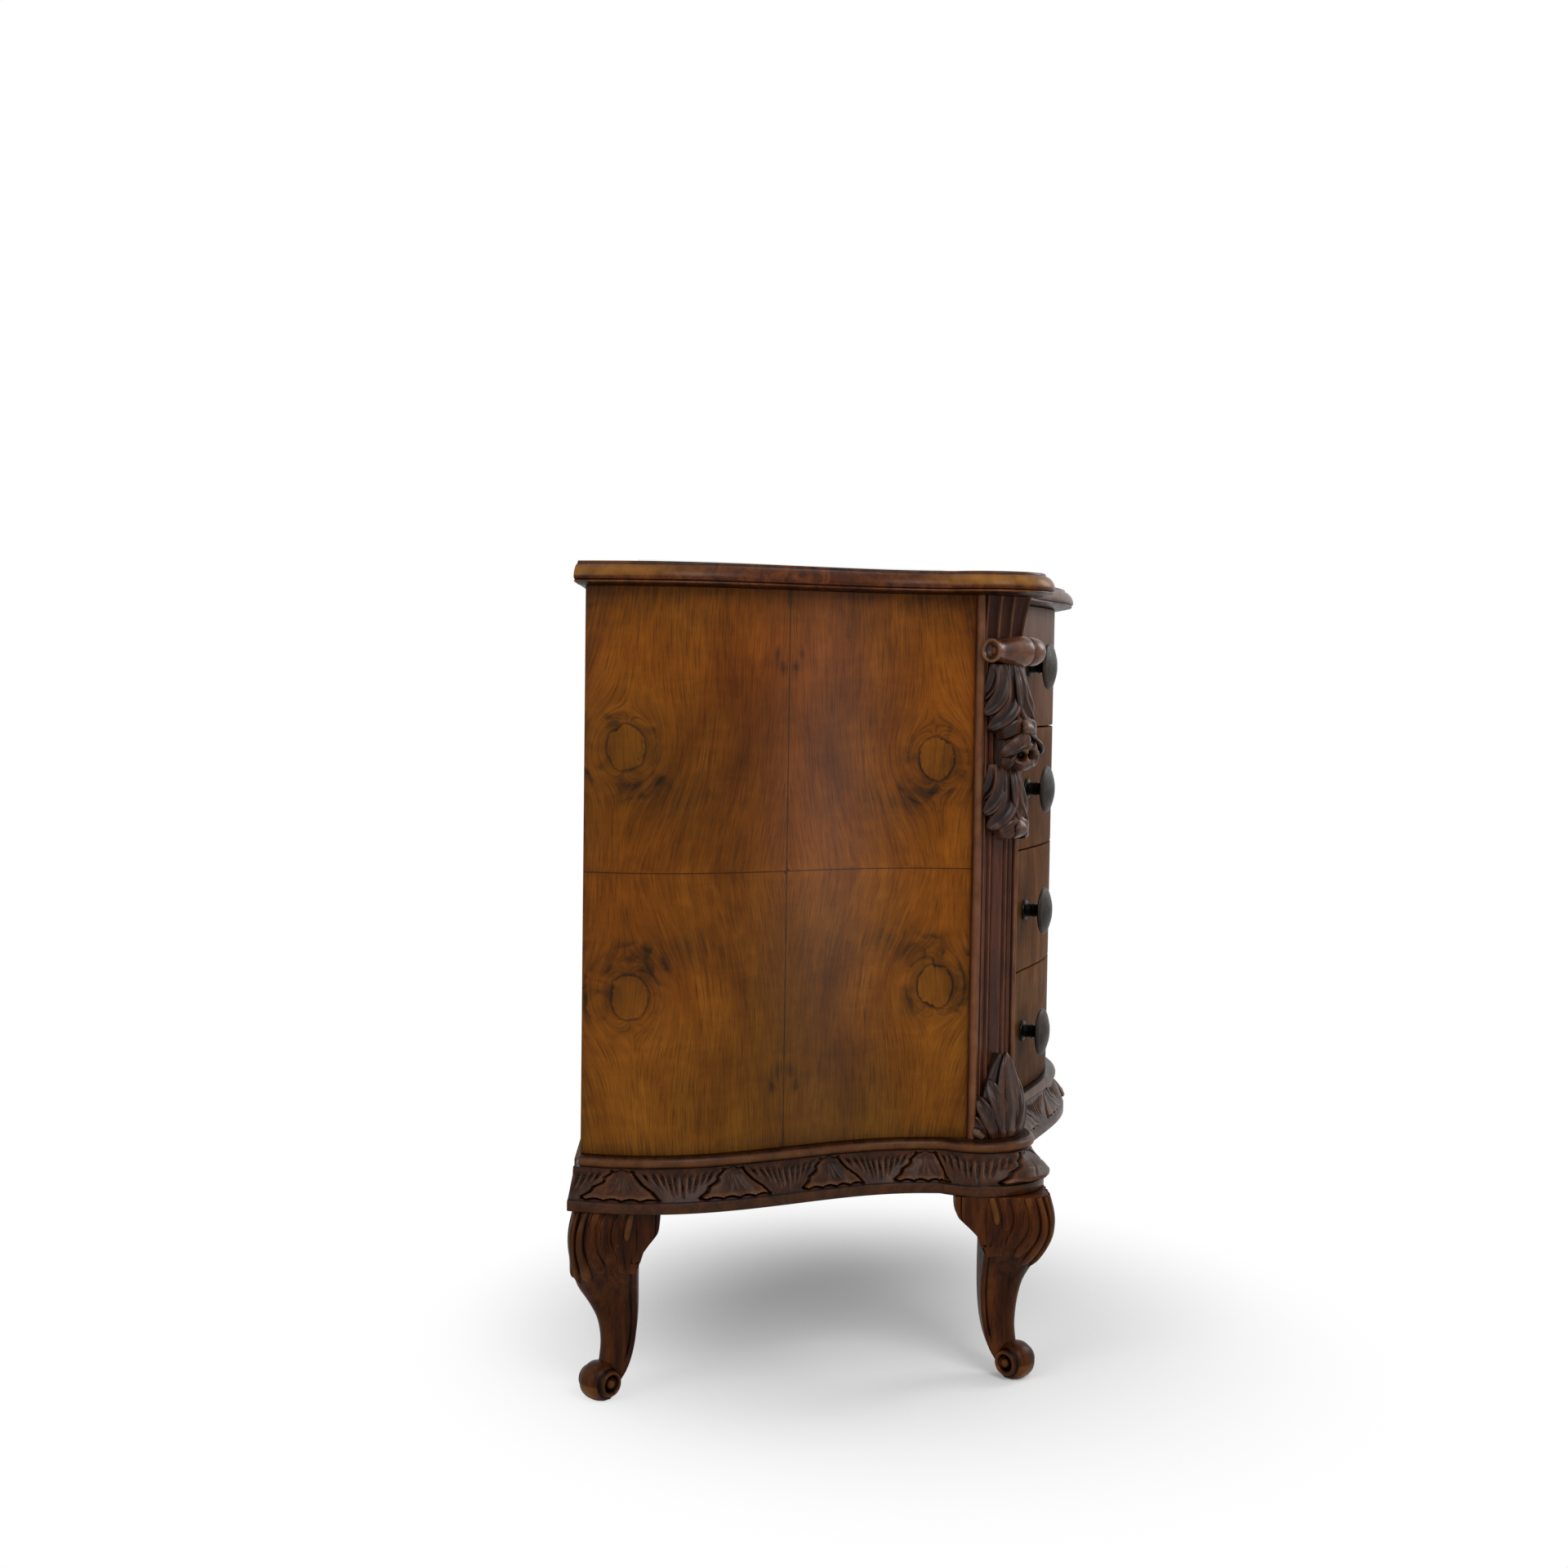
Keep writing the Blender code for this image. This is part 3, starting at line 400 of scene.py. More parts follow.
def varnished_walnut(name, tones, stretch, gloss=0.36, wear_and_highlight=1.0, shine=0.12):
    """Solid walnut under worn varnish.

    Long noise along the grain makes the figure and finer, longer noise its pores. The vertex
    attribute "relief" paints what is cut in darker, as dirt and painted shade, and what stands
    out a paler, golden brown, as rubbed wear and a painted highlight.
    """
    dark, middle, light, rubbed_and_highlit = tones
    material, tree, shader, place = new_finish(name)
    grain = add_node(tree, "ShaderNodeMapping", {"Vector": place, "Scale": stretch}).outputs[0]
    figure = noise(tree, grain, 1.0, 7.0, 0.62, 0.7)
    pores = noise(tree, stretched(tree, grain, (7.0, 7.0, 7.0)), 1.0, 3.0, 0.7)
    wood = colour_steps(tree, figure, [(0.30, dark), (0.50, middle), (0.72, light)])
    tint = spread(tree, noise(tree, place, 9.0, 3.0), 0.35, 0.65, 0.78, 1.18)
    wood = mix_colours(tree, 1.0, wood, tint, "MULTIPLY")
    wood = mix_colours(tree, 1.0, wood, spread(tree, pores, 0.36, 0.48, 0.62, 1.0), "MULTIPLY")
    relief = vertex_value(tree, "relief")
    # Rubbed wear and painted highlight: relief above 0 turns the wood towards the paler tone
    rub_and_highlight_noise = calculate(tree, "MULTIPLY", noise(tree, place, 55.0, 4.0), 1.3 * wear_and_highlight)
    worn_and_highlit = calculate(tree, "MULTIPLY", spread(tree, relief, 0.12, 1.0), rub_and_highlight_noise, clamp=True)
    wood = mix_colours(tree, worn_and_highlit, wood, rubbed_and_highlit)
    # Dirt and painted shade: relief below 0 darkens the cuts almost to black
    cut_shade_and_dirt = spread(tree, relief, -0.08, -0.85, 0.0, 0.92)
    wood = mix_colours(tree, cut_shade_and_dirt, wood, tuple(0.16 * c for c in dark[:3]) + (1.0,))
    tree.links.new(wood, shader.inputs["Base Color"])
    dull = spread(tree, figure, 0.2, 0.8, gloss + 0.10, gloss - 0.05)
    tree.links.new(dull, shader.inputs["Roughness"])
    shader.inputs["Specular IOR Level"].default_value = shine
    roughen(tree, shader, pores, 0.10, 0.0006)
    return material


def dress(thing, material):
    """The piece's only material, put in place of any it had."""
    thing.data.materials.clear()
    thing.data.materials.append(material)
    return thing


top_tones = (paint(40, 20, 9), paint(74, 38, 17), paint(100, 57, 25), paint(168, 116, 52))
top_walnut = varnished_walnut("top_walnut", top_tones, (9.0, 60.0, 60.0), gloss=0.28)

TOP_LOW, TOP_HIGH = heights("top_board")
top_depth = TOP_HIGH - TOP_LOW
top_section = np.array(
    [
        (-0.0300, 0.0000), (0.0095, 0.0000), (0.0120, 0.0006), (0.0195, 0.0022), (0.0210, 0.0026),
        (0.0215, 0.0035), (0.0212, 0.0045), (0.0203, 0.0050), (0.0206, 0.0055), (0.0222, 0.0060),
        (0.0229, 0.0072), (0.0230, 0.0088), (0.0228, 0.0106), (0.0222, 0.0126), (0.0213, 0.0146),
        (0.0201, 0.0166), (0.0186, 0.0184), (0.0169, 0.0199), (0.0151, 0.0210), (0.0136, 0.0216),
        (0.0131, 0.0220), (0.0129, 0.0227), (0.0120, top_depth), (-0.0300, top_depth),
    ]
)
# How the edge is painted, by height: pale above 0, as wear and a painted highlight, and dark
# below 0, as dirt and painted shade in its quirks and under it
top_wear_and_shade = np.array(
    [
        (0.0000, -0.90), (0.0024, -0.50), (0.0034, 0.50), (0.0044, 0.30), (0.0052, -0.90),
        (0.0066, -0.10), (0.0110, 0.55), (0.0170, 0.75), (0.0205, 0.45), (0.0217, -0.90),
        (0.0226, 0.40), (0.0245, 0.00),
    ]
)
top_plan = mirrored_outline(half_outline(TOP_BACK))
top_points = carried(top_plan, top_section + [0.0, TOP_LOW])
lit_worn_share = np.full(len(top_plan), LIT_WORN_LEAST)
for middle, size in (LIT_WORN_BACK, LIT_WORN_EAR):
    lit_worn_share += (1 - LIT_WORN_LEAST) * np.exp(-(((top_plan[:, 1] - middle) / size) ** 2))
# The edge's painted highlight and wear, strongest at the back corner and round the ear
top_relief = np.interp(top_section[:, 1], top_wear_and_shade[:, 0], top_wear_and_shade[:, 1])
top_relief = np.where(top_relief > 0, top_relief * lit_worn_share[:, None], top_relief)
top_board = add_surface(
    "top_board_moulded", top_points, plate_faces(*top_points.shape[:2]), {"relief": top_relief}
)
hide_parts("top_board")
dress(top_board, top_walnut)


# Glass plate. A plate of float glass that follows the top's front and sides a hand's breadth in,
# with rounded corners where the board has its ears. It lies loose, and its ground edge is green.
GLASS_MARGIN, GLASS_FRONT_MARGIN, GLASS_THICKNESS, GLASS_BACK = 0.037, 0.077, 0.0035, 0.052
GLASS_GAP, GLASS_ARRIS, GLASS_CORNER_STEPS = 0.0003, 0.0008, 26
glass_low = heights("glass_plate")[0] + GLASS_GAP
glass_high = glass_low + GLASS_THICKNESS
glass_section = [
    (-GLASS_ARRIS, glass_low),
    (0.0, glass_low + GLASS_ARRIS),
    (0.0, glass_high - GLASS_ARRIS),
    (-GLASS_ARRIS, glass_high),
]
board = half_outline(GLASS_BACK)
glass_front, glass_side = board[:CURVE_STEPS].copy(), board[-CURVE_STEPS:].copy()
glass_front[:, :2] -= GLASS_FRONT_MARGIN * glass_front[:, 2:]
glass_side[:, :2] -= GLASS_MARGIN * glass_side[:, 2:]
corner_wide = glass_side[0, 0] - glass_front[-1, 0]
corner_deep = glass_front[-1, 1] - glass_side[0, 1]
angle = np.linspace(math.pi / 2, 0.0, GLASS_CORNER_STEPS)[1:-1]
square = np.column_stack([np.cos(angle) / corner_wide, np.sin(angle) / corner_deep])
square /= np.linalg.norm(square, axis=1, keepdims=True)
corner_x = glass_front[-1, 0] + corner_wide * np.cos(angle)
corner_u = glass_side[0, 1] + corner_deep * np.sin(angle)
glass_corner = np.column_stack([corner_x, corner_u, square])
glass_plan = mirrored_outline(np.concatenate([glass_front, glass_corner, glass_side]))
glass_points = carried(glass_plan, glass_section)
glass_edge = np.broadcast_to([0.3, 1.0, 1.0, 0.3], glass_points.shape[:2])
glass_plate = add_surface(
    "glass_plate_ground",
    glass_points,
    plate_faces(*glass_points.shape[:2]),
    {"relief": glass_edge},
    smooth_angle=25.0,
)
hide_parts("glass_plate")
float_glass, tree, shader, place = new_finish("float_glass")
wave = noise(tree, place, 5.0, 1.0)
edge = spread(tree, vertex_value(tree, "relief"), 0.5, 1.0)
green = colour_steps(tree, wave, [(0.3, (0.60, 0.74, 0.68, 1)), (0.7, (0.70, 0.82, 0.76, 1))])
tree.links.new(green, shader.inputs["Base Color"])
tree.links.new(spread(tree, wave, 0.3, 0.7, 0.02, 0.05), shader.inputs["Roughness"])
shader.inputs["IOR"].default_value = 1.5
shader.inputs["Metallic"].default_value = 1.0
clear = add_node(tree, "ShaderNodeBsdfTransparent", {"Color": (0.93, 0.97, 0.95, 1.0)})
glance = add_node(tree, "ShaderNodeFresnel", {"IOR": 1.45}).outputs[0]
inner_face = add_node(tree, "ShaderNodeNewGeometry").outputs["Backfacing"]
glance = calculate(tree, "MULTIPLY", glance, spread(tree, inner_face, 0.0, 1.0, 0.65, 0.0))
glance = calculate(tree, "MAXIMUM", glance, calculate(tree, "MULTIPLY", edge, 0.60))
layers = {0: glance, 1: clear.outputs[0], 2: shader.outputs[0]}
pane = add_node(tree, "ShaderNodeMixShader", layers).outputs[0]
tree.links.new(pane, tree.nodes["Material Output"].inputs["Surface"])
dress(glass_plate, float_glass)


# Side panels. Each is a shaped board with four leaves of figured walnut veneer, opened like a
# book both ways, so that the two joints cross at its middle and a knot lies in every quarter.
SEAM_U, SEAM_Z = 0.2110, 0.5533
PANEL_THICKNESS, PANEL_GAP, POST_SIDE_U = 0.020, 0.0003, 0.4185
PANEL_COLUMNS, PANEL_ROWS = 60, 80
# A knot's distance from the upright joint and from the level joint, for the two quarters at the
# back and the two at the front, the lower first
KNOTS = np.array([[(0.1619, 0.1275), (0.1675, 0.1294)], [(0.1641, 0.1275), (0.1613, 0.1177)]])
KNOT_RADIUS, GRAIN_LEAN, PANEL_FLITCH = 0.0200, 0.10, (0.3, 0.2)
# Dark clouds by each knot: how far toward the joints they lie, two half sizes and their strength
SMUDGES = [
    (0.008, 0.034, 0.024, 0.018, 0.90), (0.050, 0.052, 0.030, 0.022, 0.50),
    (-0.017, -0.004, 0.014, 0.030, 0.50), (0.105, 0.040, 0.040, 0.060, 0.26),
    (0.024, -0.008, 0.010, 0.026, 0.35),
]
SMUDGE_STRENGTH = 0.82
# Two small flecks by the upright joint, as distances from both joints, and their half sizes
FLECKS, FLECK_SIZE = ((0.013, 0.226), (0.007, 0.212)), (0.0035, 0.008)
# Dirt and painted shade at the panel's rim, and the top's painted shadow under its overhang:
# each one's strength and how far it reaches
RIM_DIRT_AND_SHADE, TOP_OVERHANG_SHADOW = (0.40, 0.022), (0.48, 0.060)
# A painted sheen of reflected light on each panel: its middle, its half sizes and its strength
SHEEN_PLACE, SHEEN_SIZE, SHEEN_STRENGTH = (0.258, 0.611), (0.060, 0.27), 0.021


def knotted_grain(across, along, knots, lean=0.0):
    """Where each point lies in the flitch that the veneer was cut from.

    The grain runs up with its lean and parts round each knot as water flows round a post: across
    less its distance from the knot times the knot's radius squared over the distance squared, and
    a second, wider and weaker bend of the same kind. Also gives the distance in knot radii.
    """
    grain, near = across + lean * along, np.full(across.shape, 9.0)
    for place, height, radius in knots:
        right, up = across - place, (along - height) * 0.86
        squared = right**2 + up**2
        grain -= 1.5 * right * radius**2 / np.maximum(squared, 0.8 * radius**2)
        wide = (3.2 * radius) ** 2
        grain -= 0.55 * right * wide / (squared + wide)
        near = np.minimum(near, np.sqrt(squared) / radius)
    return grain, near


def figured_veneer(name, tones, gloss, shine, pale):
    """Figured walnut veneer: streaks along the grain attribute, knots, joints and soft shade.

    "grain" holds the flitch coordinates, "knot" the distance from a knot in its radii, "joint"
    the distance from a joint in metres, "shade" the dark clouds by the knots, dirt with painted
    shade at the rims and the painted shadow under the top, and "painted_sheen" a painted sheen of
    reflected light. Black draws the knots' rings, the clouds and that shade, and the last tone
    fills the knots. The wood low on the piece leans to the pale tint.
    """
    black, dark, middle, light, gold, heart = tones
    material, tree, shader, place = new_finish(name)
    grain = vertex_value(tree, "grain", "Vector")
    knot, joint = vertex_value(tree, "knot"), vertex_value(tree, "joint")
    shade, painted_sheen = vertex_value(tree, "shade"), vertex_value(tree, "painted_sheen")

    def streaks(scale, detail, distortion=0.0):
        """Noise drawn out along the grain."""
        return noise(tree, stretched(tree, grain, scale), 1.0, detail, 0.6, distortion)

    figure = streaks((30.0, 6.0, 1.0), 6.0, 1.1)
    ribbon = streaks((330.0, 9.0, 1.0), 3.0, 0.2)
    fleck = streaks((600.0, 27.0, 1.0), 3.0, 0.3)
    pores = streaks((1150.0, 30.0, 1.0), 2.0)
    ripple = streaks((24.0, 62.0, 1.0), 2.0, 0.4)
    cloud = noise(tree, place, 4.6, 4.0)
    stain = noise(tree, place, 26.0, 5.0, distortion=1.4)
    # The ground colour, then every finer pattern multiplied over it
    stops = [(0.20, dark), (0.46, middle), (0.64, light), (0.90, gold)]
    wood = colour_steps(tree, figure, stops)
    for value, low, high, down, up in (
        (ribbon, 0.36, 0.64, 0.92, 1.06),
        (fleck, 0.34, 0.48, 0.80, 1.02),
        (pores, 0.38, 0.50, 0.70, 1.02),
        (ripple, 0.35, 0.65, 0.92, 1.08),
        (cloud, 0.34, 0.66, 0.74, 1.24),
    ):
        wood = mix_colours(tree, 1.0, wood, spread(tree, value, low, high, down, up), "MULTIPLY")
    # Pale low down and redder above, in clouds
    rise = add_node(tree, "ShaderNodeSeparateXYZ", {0: place}).outputs["Z"]
    redder = spread(tree, noise(tree, place, 3.1, 3.0), 0.38, 0.62, -0.25, 0.35)
    higher = spread(tree, rise, 0.28, 0.62, 0.05, 0.75)
    redder = calculate(tree, "ADD", redder, higher, clamp=True)
    warm = mix_colours(tree, redder, pale, (1.09, 0.94, 0.96, 1.0))
    wood = mix_colours(tree, 1.0, wood, warm, "MULTIPLY")
    # A knot: a smudged halo, a thin broken ring, two faint arcs outside it and its paler heart
    ring = calculate(tree, "ADD", knot, spread(tree, stain, 0.3, 0.7, -0.13, 0.13))
    edge_in, edge_out = spread(tree, ring, 0.91, 0.98), spread(tree, ring, 1.00, 1.12, 1.0, 0.0)
    edge = calculate(tree, "MULTIPLY", edge_in, edge_out)
    edge = calculate(tree, "MULTIPLY", edge, spread(tree, stain, 0.36, 0.60, 0.50, 0.92))
    halo = calculate(tree, "MULTIPLY", edge_in, spread(tree, ring, 1.0, 2.7, 0.62, 0.0))
    halo = calculate(tree, "MULTIPLY", halo, spread(tree, stain, 0.44, 0.66, 0.05, 1.0))
    wood = mix_colours(tree, halo, wood, black)
    wood = mix_colours(tree, edge, wood, black)
    for near, far in ((1.62, 1.72), (2.30, 2.42)):
        inner = spread(tree, ring, near - 0.08, near)
        arc = calculate(tree, "MULTIPLY", inner, spread(tree, ring, far, far + 0.16, 1.0, 0.0))
        arc = calculate(tree, "MULTIPLY", arc, spread(tree, stain, 0.46, 0.60, 0.0, 0.8))
        arc = calculate(tree, "MULTIPLY", arc, spread(tree, shade, 0.06, 0.30))
        wood = mix_colours(tree, arc, wood, black)
    wood = mix_colours(tree, spread(tree, ring, 0.84, 0.95, 0.24, 0.0), wood, heart)
    # Dirt, painted shade and painted shadow, and dark clouds, then the joints, then the painted
    # sheen
    patch = calculate(tree, "MULTIPLY", shade, spread(tree, stain, 0.34, 0.66, 0.40, 1.25))
    patch = calculate(tree, "MULTIPLY", patch, spread(tree, ribbon, 0.36, 0.62, 1.30, 0.70))
    wood = mix_colours(tree, patch, wood, black)
    wood = mix_colours(tree, spread(tree, joint, 0.0002, 0.0011, 0.75, 0.0), wood, black)
    # The painted sheen whitens the wood a little
    wood = mix_colours(tree, painted_sheen, wood, (1.0, 0.96, 0.98, 1.0))
    tree.links.new(wood, shader.inputs["Base Color"])
    dull = spread(tree, figure, 0.25, 0.75, gloss + 0.07, gloss - 0.04)
    tree.links.new(dull, shader.inputs["Roughness"])
    shader.inputs["Specular IOR Level"].default_value = shine
    roughen(tree, shader, pores, 0.06, 0.0004)
    return material


def tube_faces(rows, columns, start=0):
    """A tube whose rows are closed rings: its wall, then a cap over its first and last ring."""
    ring = np.arange(columns) + start
    wall = grid_faces(rows, columns, wrap_columns=True, start=start)
    return wall + [ring[::-1].tolist(), (ring + (rows - 1) * columns).tolist()]


panel_tones = (
    paint(34, 27, 18), paint(85, 46, 14), paint(104, 59, 17),
    paint(116, 68, 21), paint(130, 80, 29), paint(88, 61, 22),
)
panel_veneer = figured_veneer("panel_veneer", panel_tones, 0.34, 0.07, (0.85, 1.04, 1.04, 1.0))
panel_low, panel_high = heights("side_panel_left")
forward_half = np.linspace(POST_SIDE_U - PANEL_GAP, SEAM_U, PANEL_COLUMNS)
depth = np.concatenate([forward_half, np.linspace(SEAM_U, 0.0, PANEL_COLUMNS + 2)[1:]])
lower_half = np.linspace(panel_low, SEAM_Z, PANEL_ROWS)
height = np.concatenate([lower_half, np.linspace(SEAM_Z, panel_high, PANEL_ROWS + 2)[1:]])
outer_run = side_face(depth)
inner_run = outer_run[::-1, :2] - PANEL_THICKNESS * outer_run[::-1, 2:]
panel_run = np.concatenate([outer_run[:, :2], inner_run])
u, z = np.broadcast_arrays(np.concatenate([depth, depth[::-1]]), height[:, None])
across, along = np.abs(u - SEAM_U), np.abs(z - SEAM_Z)
forward, upper = (u > SEAM_U).astype(int), (z > SEAM_Z).astype(int)
knot_across, knot_along = np.moveaxis(KNOTS[forward, upper], -1, 0)
grain, near = knotted_grain(across, along, [(knot_across, knot_along, KNOT_RADIUS)], GRAIN_LEAN)
quarter = 0.35 * forward + 0.6 * upper
flitch = np.stack([grain + PANEL_FLITCH[0], along + PANEL_FLITCH[1], quarter * 0.25], axis=-1)
rim = np.minimum(np.minimum(u, POST_SIDE_U - u), z - panel_low)
# Dirt and painted shade at the rim, and the top's painted shadow along the upper edge
rim_dirt_and_top_shadow = RIM_DIRT_AND_SHADE[0] * np.clip(1 - rim / RIM_DIRT_AND_SHADE[1], 0, 1) ** 1.5
rim_dirt_and_top_shadow += TOP_OVERHANG_SHADOW[0] * np.clip(1 - (panel_high - z) / TOP_OVERHANG_SHADOW[1], 0, 1) ** 1.3
clouds = np.zeros_like(grain)
for fleck_across, fleck_along in FLECKS:
    aside, above = (across - fleck_across) / FLECK_SIZE[0], (along - fleck_along) / FLECK_SIZE[1]
    clouds += np.exp(-(aside**2) - above**2)
for inward, toward, wide, tall, strength in SMUDGES:
    aside, above = across - knot_across + inward, along - knot_along + toward
    clouds += strength * np.exp(-((aside / wide) ** 2) - (above / tall) ** 2)
# The painted sheen, as a soft oval
sheen_spread = ((u - SHEEN_PLACE[0]) / SHEEN_SIZE[0]) ** 2 + ((z - SHEEN_PLACE[1]) / SHEEN_SIZE[1]) ** 2
panel_marks = {
    "grain": flitch,
    "knot": near,
    "joint": np.minimum(across, along),
    "shade": np.clip(rim_dirt_and_top_shadow + SMUDGE_STRENGTH * clouds, 0, 0.9),
    "painted_sheen": SHEEN_STRENGTH * np.exp(-sheen_spread),
}
for side, label in ((-1, "left"), (1, "right")):
    points = in_world(side * panel_run[:, 0], panel_run[:, 1], height[:, None])
    faces = tube_faces(*points.shape[:2])
    panel = add_surface("side_panel_veneered_" + label, points, faces, panel_marks)
    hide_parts("side_panel_" + label)
    dress(panel, panel_veneer)


# Drawer fronts. Four shaped boards veneered with the grain upright and bookmatched at the middle,
# with eased edges so that only a hair line shows between them. Each rides on its own drawer.
FRONT_BOARD, EASED, EASED_SHARE = 0.020, 0.0009, 0.3
SWIRL_ACROSS, SWIRL_LOW, SWIRL_STEP, SWIRL_RADIUS = 0.115, 0.291, 0.29, 0.019
NO_KNOT, END_SHADE, END_SHADE_REACH = 9.0, 0.3, 0.02
FRONT_COLUMNS, FRONT_ROWS, FRONT_FLITCH, FLITCH_STEP = 90, 14, (0.9, 0.7), 0.1
# A painted sheen of reflected light: a little on all fronts, and more on the top one, most
# towards its upper edge
FRONT_SHEEN, TOP_FRONT_SHEEN, TOP_FRONT_SHEEN_RISE = 0.004, 0.012, 0.07
drawer_tones = (
    paint(24, 15, 9), paint(56, 33, 13), paint(77, 48, 19),
    paint(90, 58, 23), paint(104, 71, 30), paint(90, 58, 23),
)
drawer_veneer = figured_veneer("drawer_veneer", drawer_tones, 0.45, 0.015, (1.0, 0.98, 0.98, 1.0))
for number in range(1, 5):
    half = float(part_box(f"drawer_{number}_front")[1][0])
    low, high = heights(f"drawer_{number}_front")
    left_half = np.linspace(-half, 0.0, FRONT_COLUMNS)
    x = np.concatenate([left_half, np.linspace(0.0, half, FRONT_COLUMNS)[1:]])
    rise = np.linspace(low + EASED, high - EASED, FRONT_ROWS)
    corner = EASED * EASED_SHARE
    section = np.concatenate(
        [
            [(-FRONT_BOARD, low), (-EASED, low), (-corner, low + corner)],
            np.column_stack([np.zeros(len(rise)), rise]),
            [(-corner, high - corner), (-EASED, high), (-FRONT_BOARD, high)],
        ]
    )
    points = in_world(x[:, None], front_depth(x)[:, None] + section[:, 0], section[:, 1])
    across, along = np.broadcast_arrays(np.abs(x)[:, None], section[:, 1])
    swirl = (SWIRL_ACROSS, SWIRL_LOW + SWIRL_STEP * (number % 2), SWIRL_RADIUS)
    grain, _ = knotted_grain(across, along, [swirl])
    leaf = np.full_like(grain, FLITCH_STEP * number)
    flitch = [grain + FRONT_FLITCH[0], along + FRONT_FLITCH[1], leaf]
    up = (along - low) / (high - low)
    front = add_surface(
        f"drawer_{number}_front_veneered",
        points,
        tube_faces(*points.shape[:2]),
        {
            "grain": np.stack(flitch, axis=-1),
            "knot": np.full_like(grain, NO_KNOT),
            "joint": across,
            "shade": END_SHADE * np.clip(1 - (half - across) / END_SHADE_REACH, 0, 1),
            "painted_sheen": (TOP_FRONT_SHEEN + TOP_FRONT_SHEEN_RISE * up**2) * (number == 1) + FRONT_SHEEN,
        },
        body=f"drawer_{number}",
    )
    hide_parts(f"drawer_{number}_front")
    dress(front, drawer_veneer)


# Knobs. Mushroom knobs turned in bronze that has gone brown: a foot ring, a thin neck with a
# collar, all painted near black as the shade under the disc, and a shallow domed disc. Each
# screws into its drawer square to the curved face.
KNOB_PLACE, KNOB_SUNK, KNOB_SIDES, NECK_END = 0.200, 0.0004, 48, 0.0196
# Distance from the drawer's face, then radius
knob_profile = np.array(
    [
        (0.0000, 0.0118), (0.0016, 0.0124), (0.0030, 0.0118), (0.0036, 0.0098), (0.0050, 0.0080),
        (0.0080, 0.0074), (0.0105, 0.0072), (0.0118, 0.0074), (0.0124, 0.0084), (0.0134, 0.0088),
        (0.0144, 0.0084), (0.0150, 0.0074), (0.0168, 0.0073), (0.0184, 0.0080), (0.0202, 0.0114),
        (0.0216, 0.0180), (0.0228, 0.0245), (0.0238, 0.0272), (0.0250, 0.0280), (0.0264, 0.0274),
        (0.0278, 0.0252), (0.0284, 0.0236), (0.0286, 0.0228), (0.0296, 0.0205), (0.0312, 0.0160),
        (0.0325, 0.0105), (0.0334, 0.0050), (0.0337, 0.0008),
    ]
)
bronze_tones = (paint(20, 15, 12), paint(38, 31, 25), paint(60, 49, 39))
bronze, tree, shader, place = new_finish("browned_bronze")
patina = noise(tree, place, 70.0, 6.0)
scratch = add_node(tree, "ShaderNodeMapping", {"Vector": place, "Scale": (300.0, 300.0, 900.0)})
scratch = noise(tree, scratch.outputs[0], 1.0, 2.0)
skin = colour_steps(tree, patina, list(zip((0.30, 0.52, 0.72), bronze_tones)))
# Everything under the disc is painted near black as shade
neck_shade = spread(tree, vertex_value(tree, "relief"), 0.0, -0.9)
skin = mix_colours(tree, neck_shade, skin, paint(9, 7, 6))
tree.links.new(skin, shader.inputs["Base Color"])
tree.links.new(spread(tree, scratch, 0.3, 0.7, 0.34, 0.52), shader.inputs["Roughness"])
shader.inputs["Metallic"].default_value = 0.20
shader.inputs["Specular IOR Level"].default_value = 0.18
knob_turn = np.linspace(0.0, math.tau, KNOB_SIDES, endpoint=False)
# The part under the disc, marked for its painted shade
knob_shade = np.where(knob_profile[:, :1] < NECK_END, -0.9, 0.0)
for number in range(1, 5):
    middle = sum(heights(f"drawer_{number}_front")) / 2
    for side, label in ((-1, "left"), (1, "right")):
        knob_x = side * KNOB_PLACE
        slope = float(front_slope(knob_x))
        square = np.array([-slope, 1.0]) / math.hypot(slope, 1)
        start = np.array([knob_x, float(front_depth(knob_x))]) - KNOB_SUNK * square
        axis = start + knob_profile[:, :1] * square
        aside = knob_profile[:, 1:] * np.cos(knob_turn)
        z = middle + knob_profile[:, 1:] * np.sin(knob_turn)
        points = in_world(axis[:, :1] - aside * square[1], axis[:, 1:] + aside * square[0], z)
        knob = add_surface(
            f"drawer_{number}_knob_turned_{label}",
            points,
            tube_faces(*points.shape[:2]),
            {"relief": np.broadcast_to(knob_shade, z.shape)},
            body=f"drawer_{number}",
        )
        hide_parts(f"drawer_{number}_knob_{label}")
        dress(knob, bronze)


# Base bead. A half-round moulding glued round the foot of the case, over the plinth, and mitred
# at the middle of each front ear.
BEAD_PROUD, BEAD_GAP, BEAD_STEP, BEAD_SIDES = 0.013, 0.0003, 0.003, 15
bead_tones = (paint(30, 15, 8), paint(54, 30, 16), paint(74, 43, 23), paint(122, 80, 44))
bead_walnut = varnished_walnut("bead_walnut", bead_tones, (14.0, 70.0, 70.0), gloss=0.32)


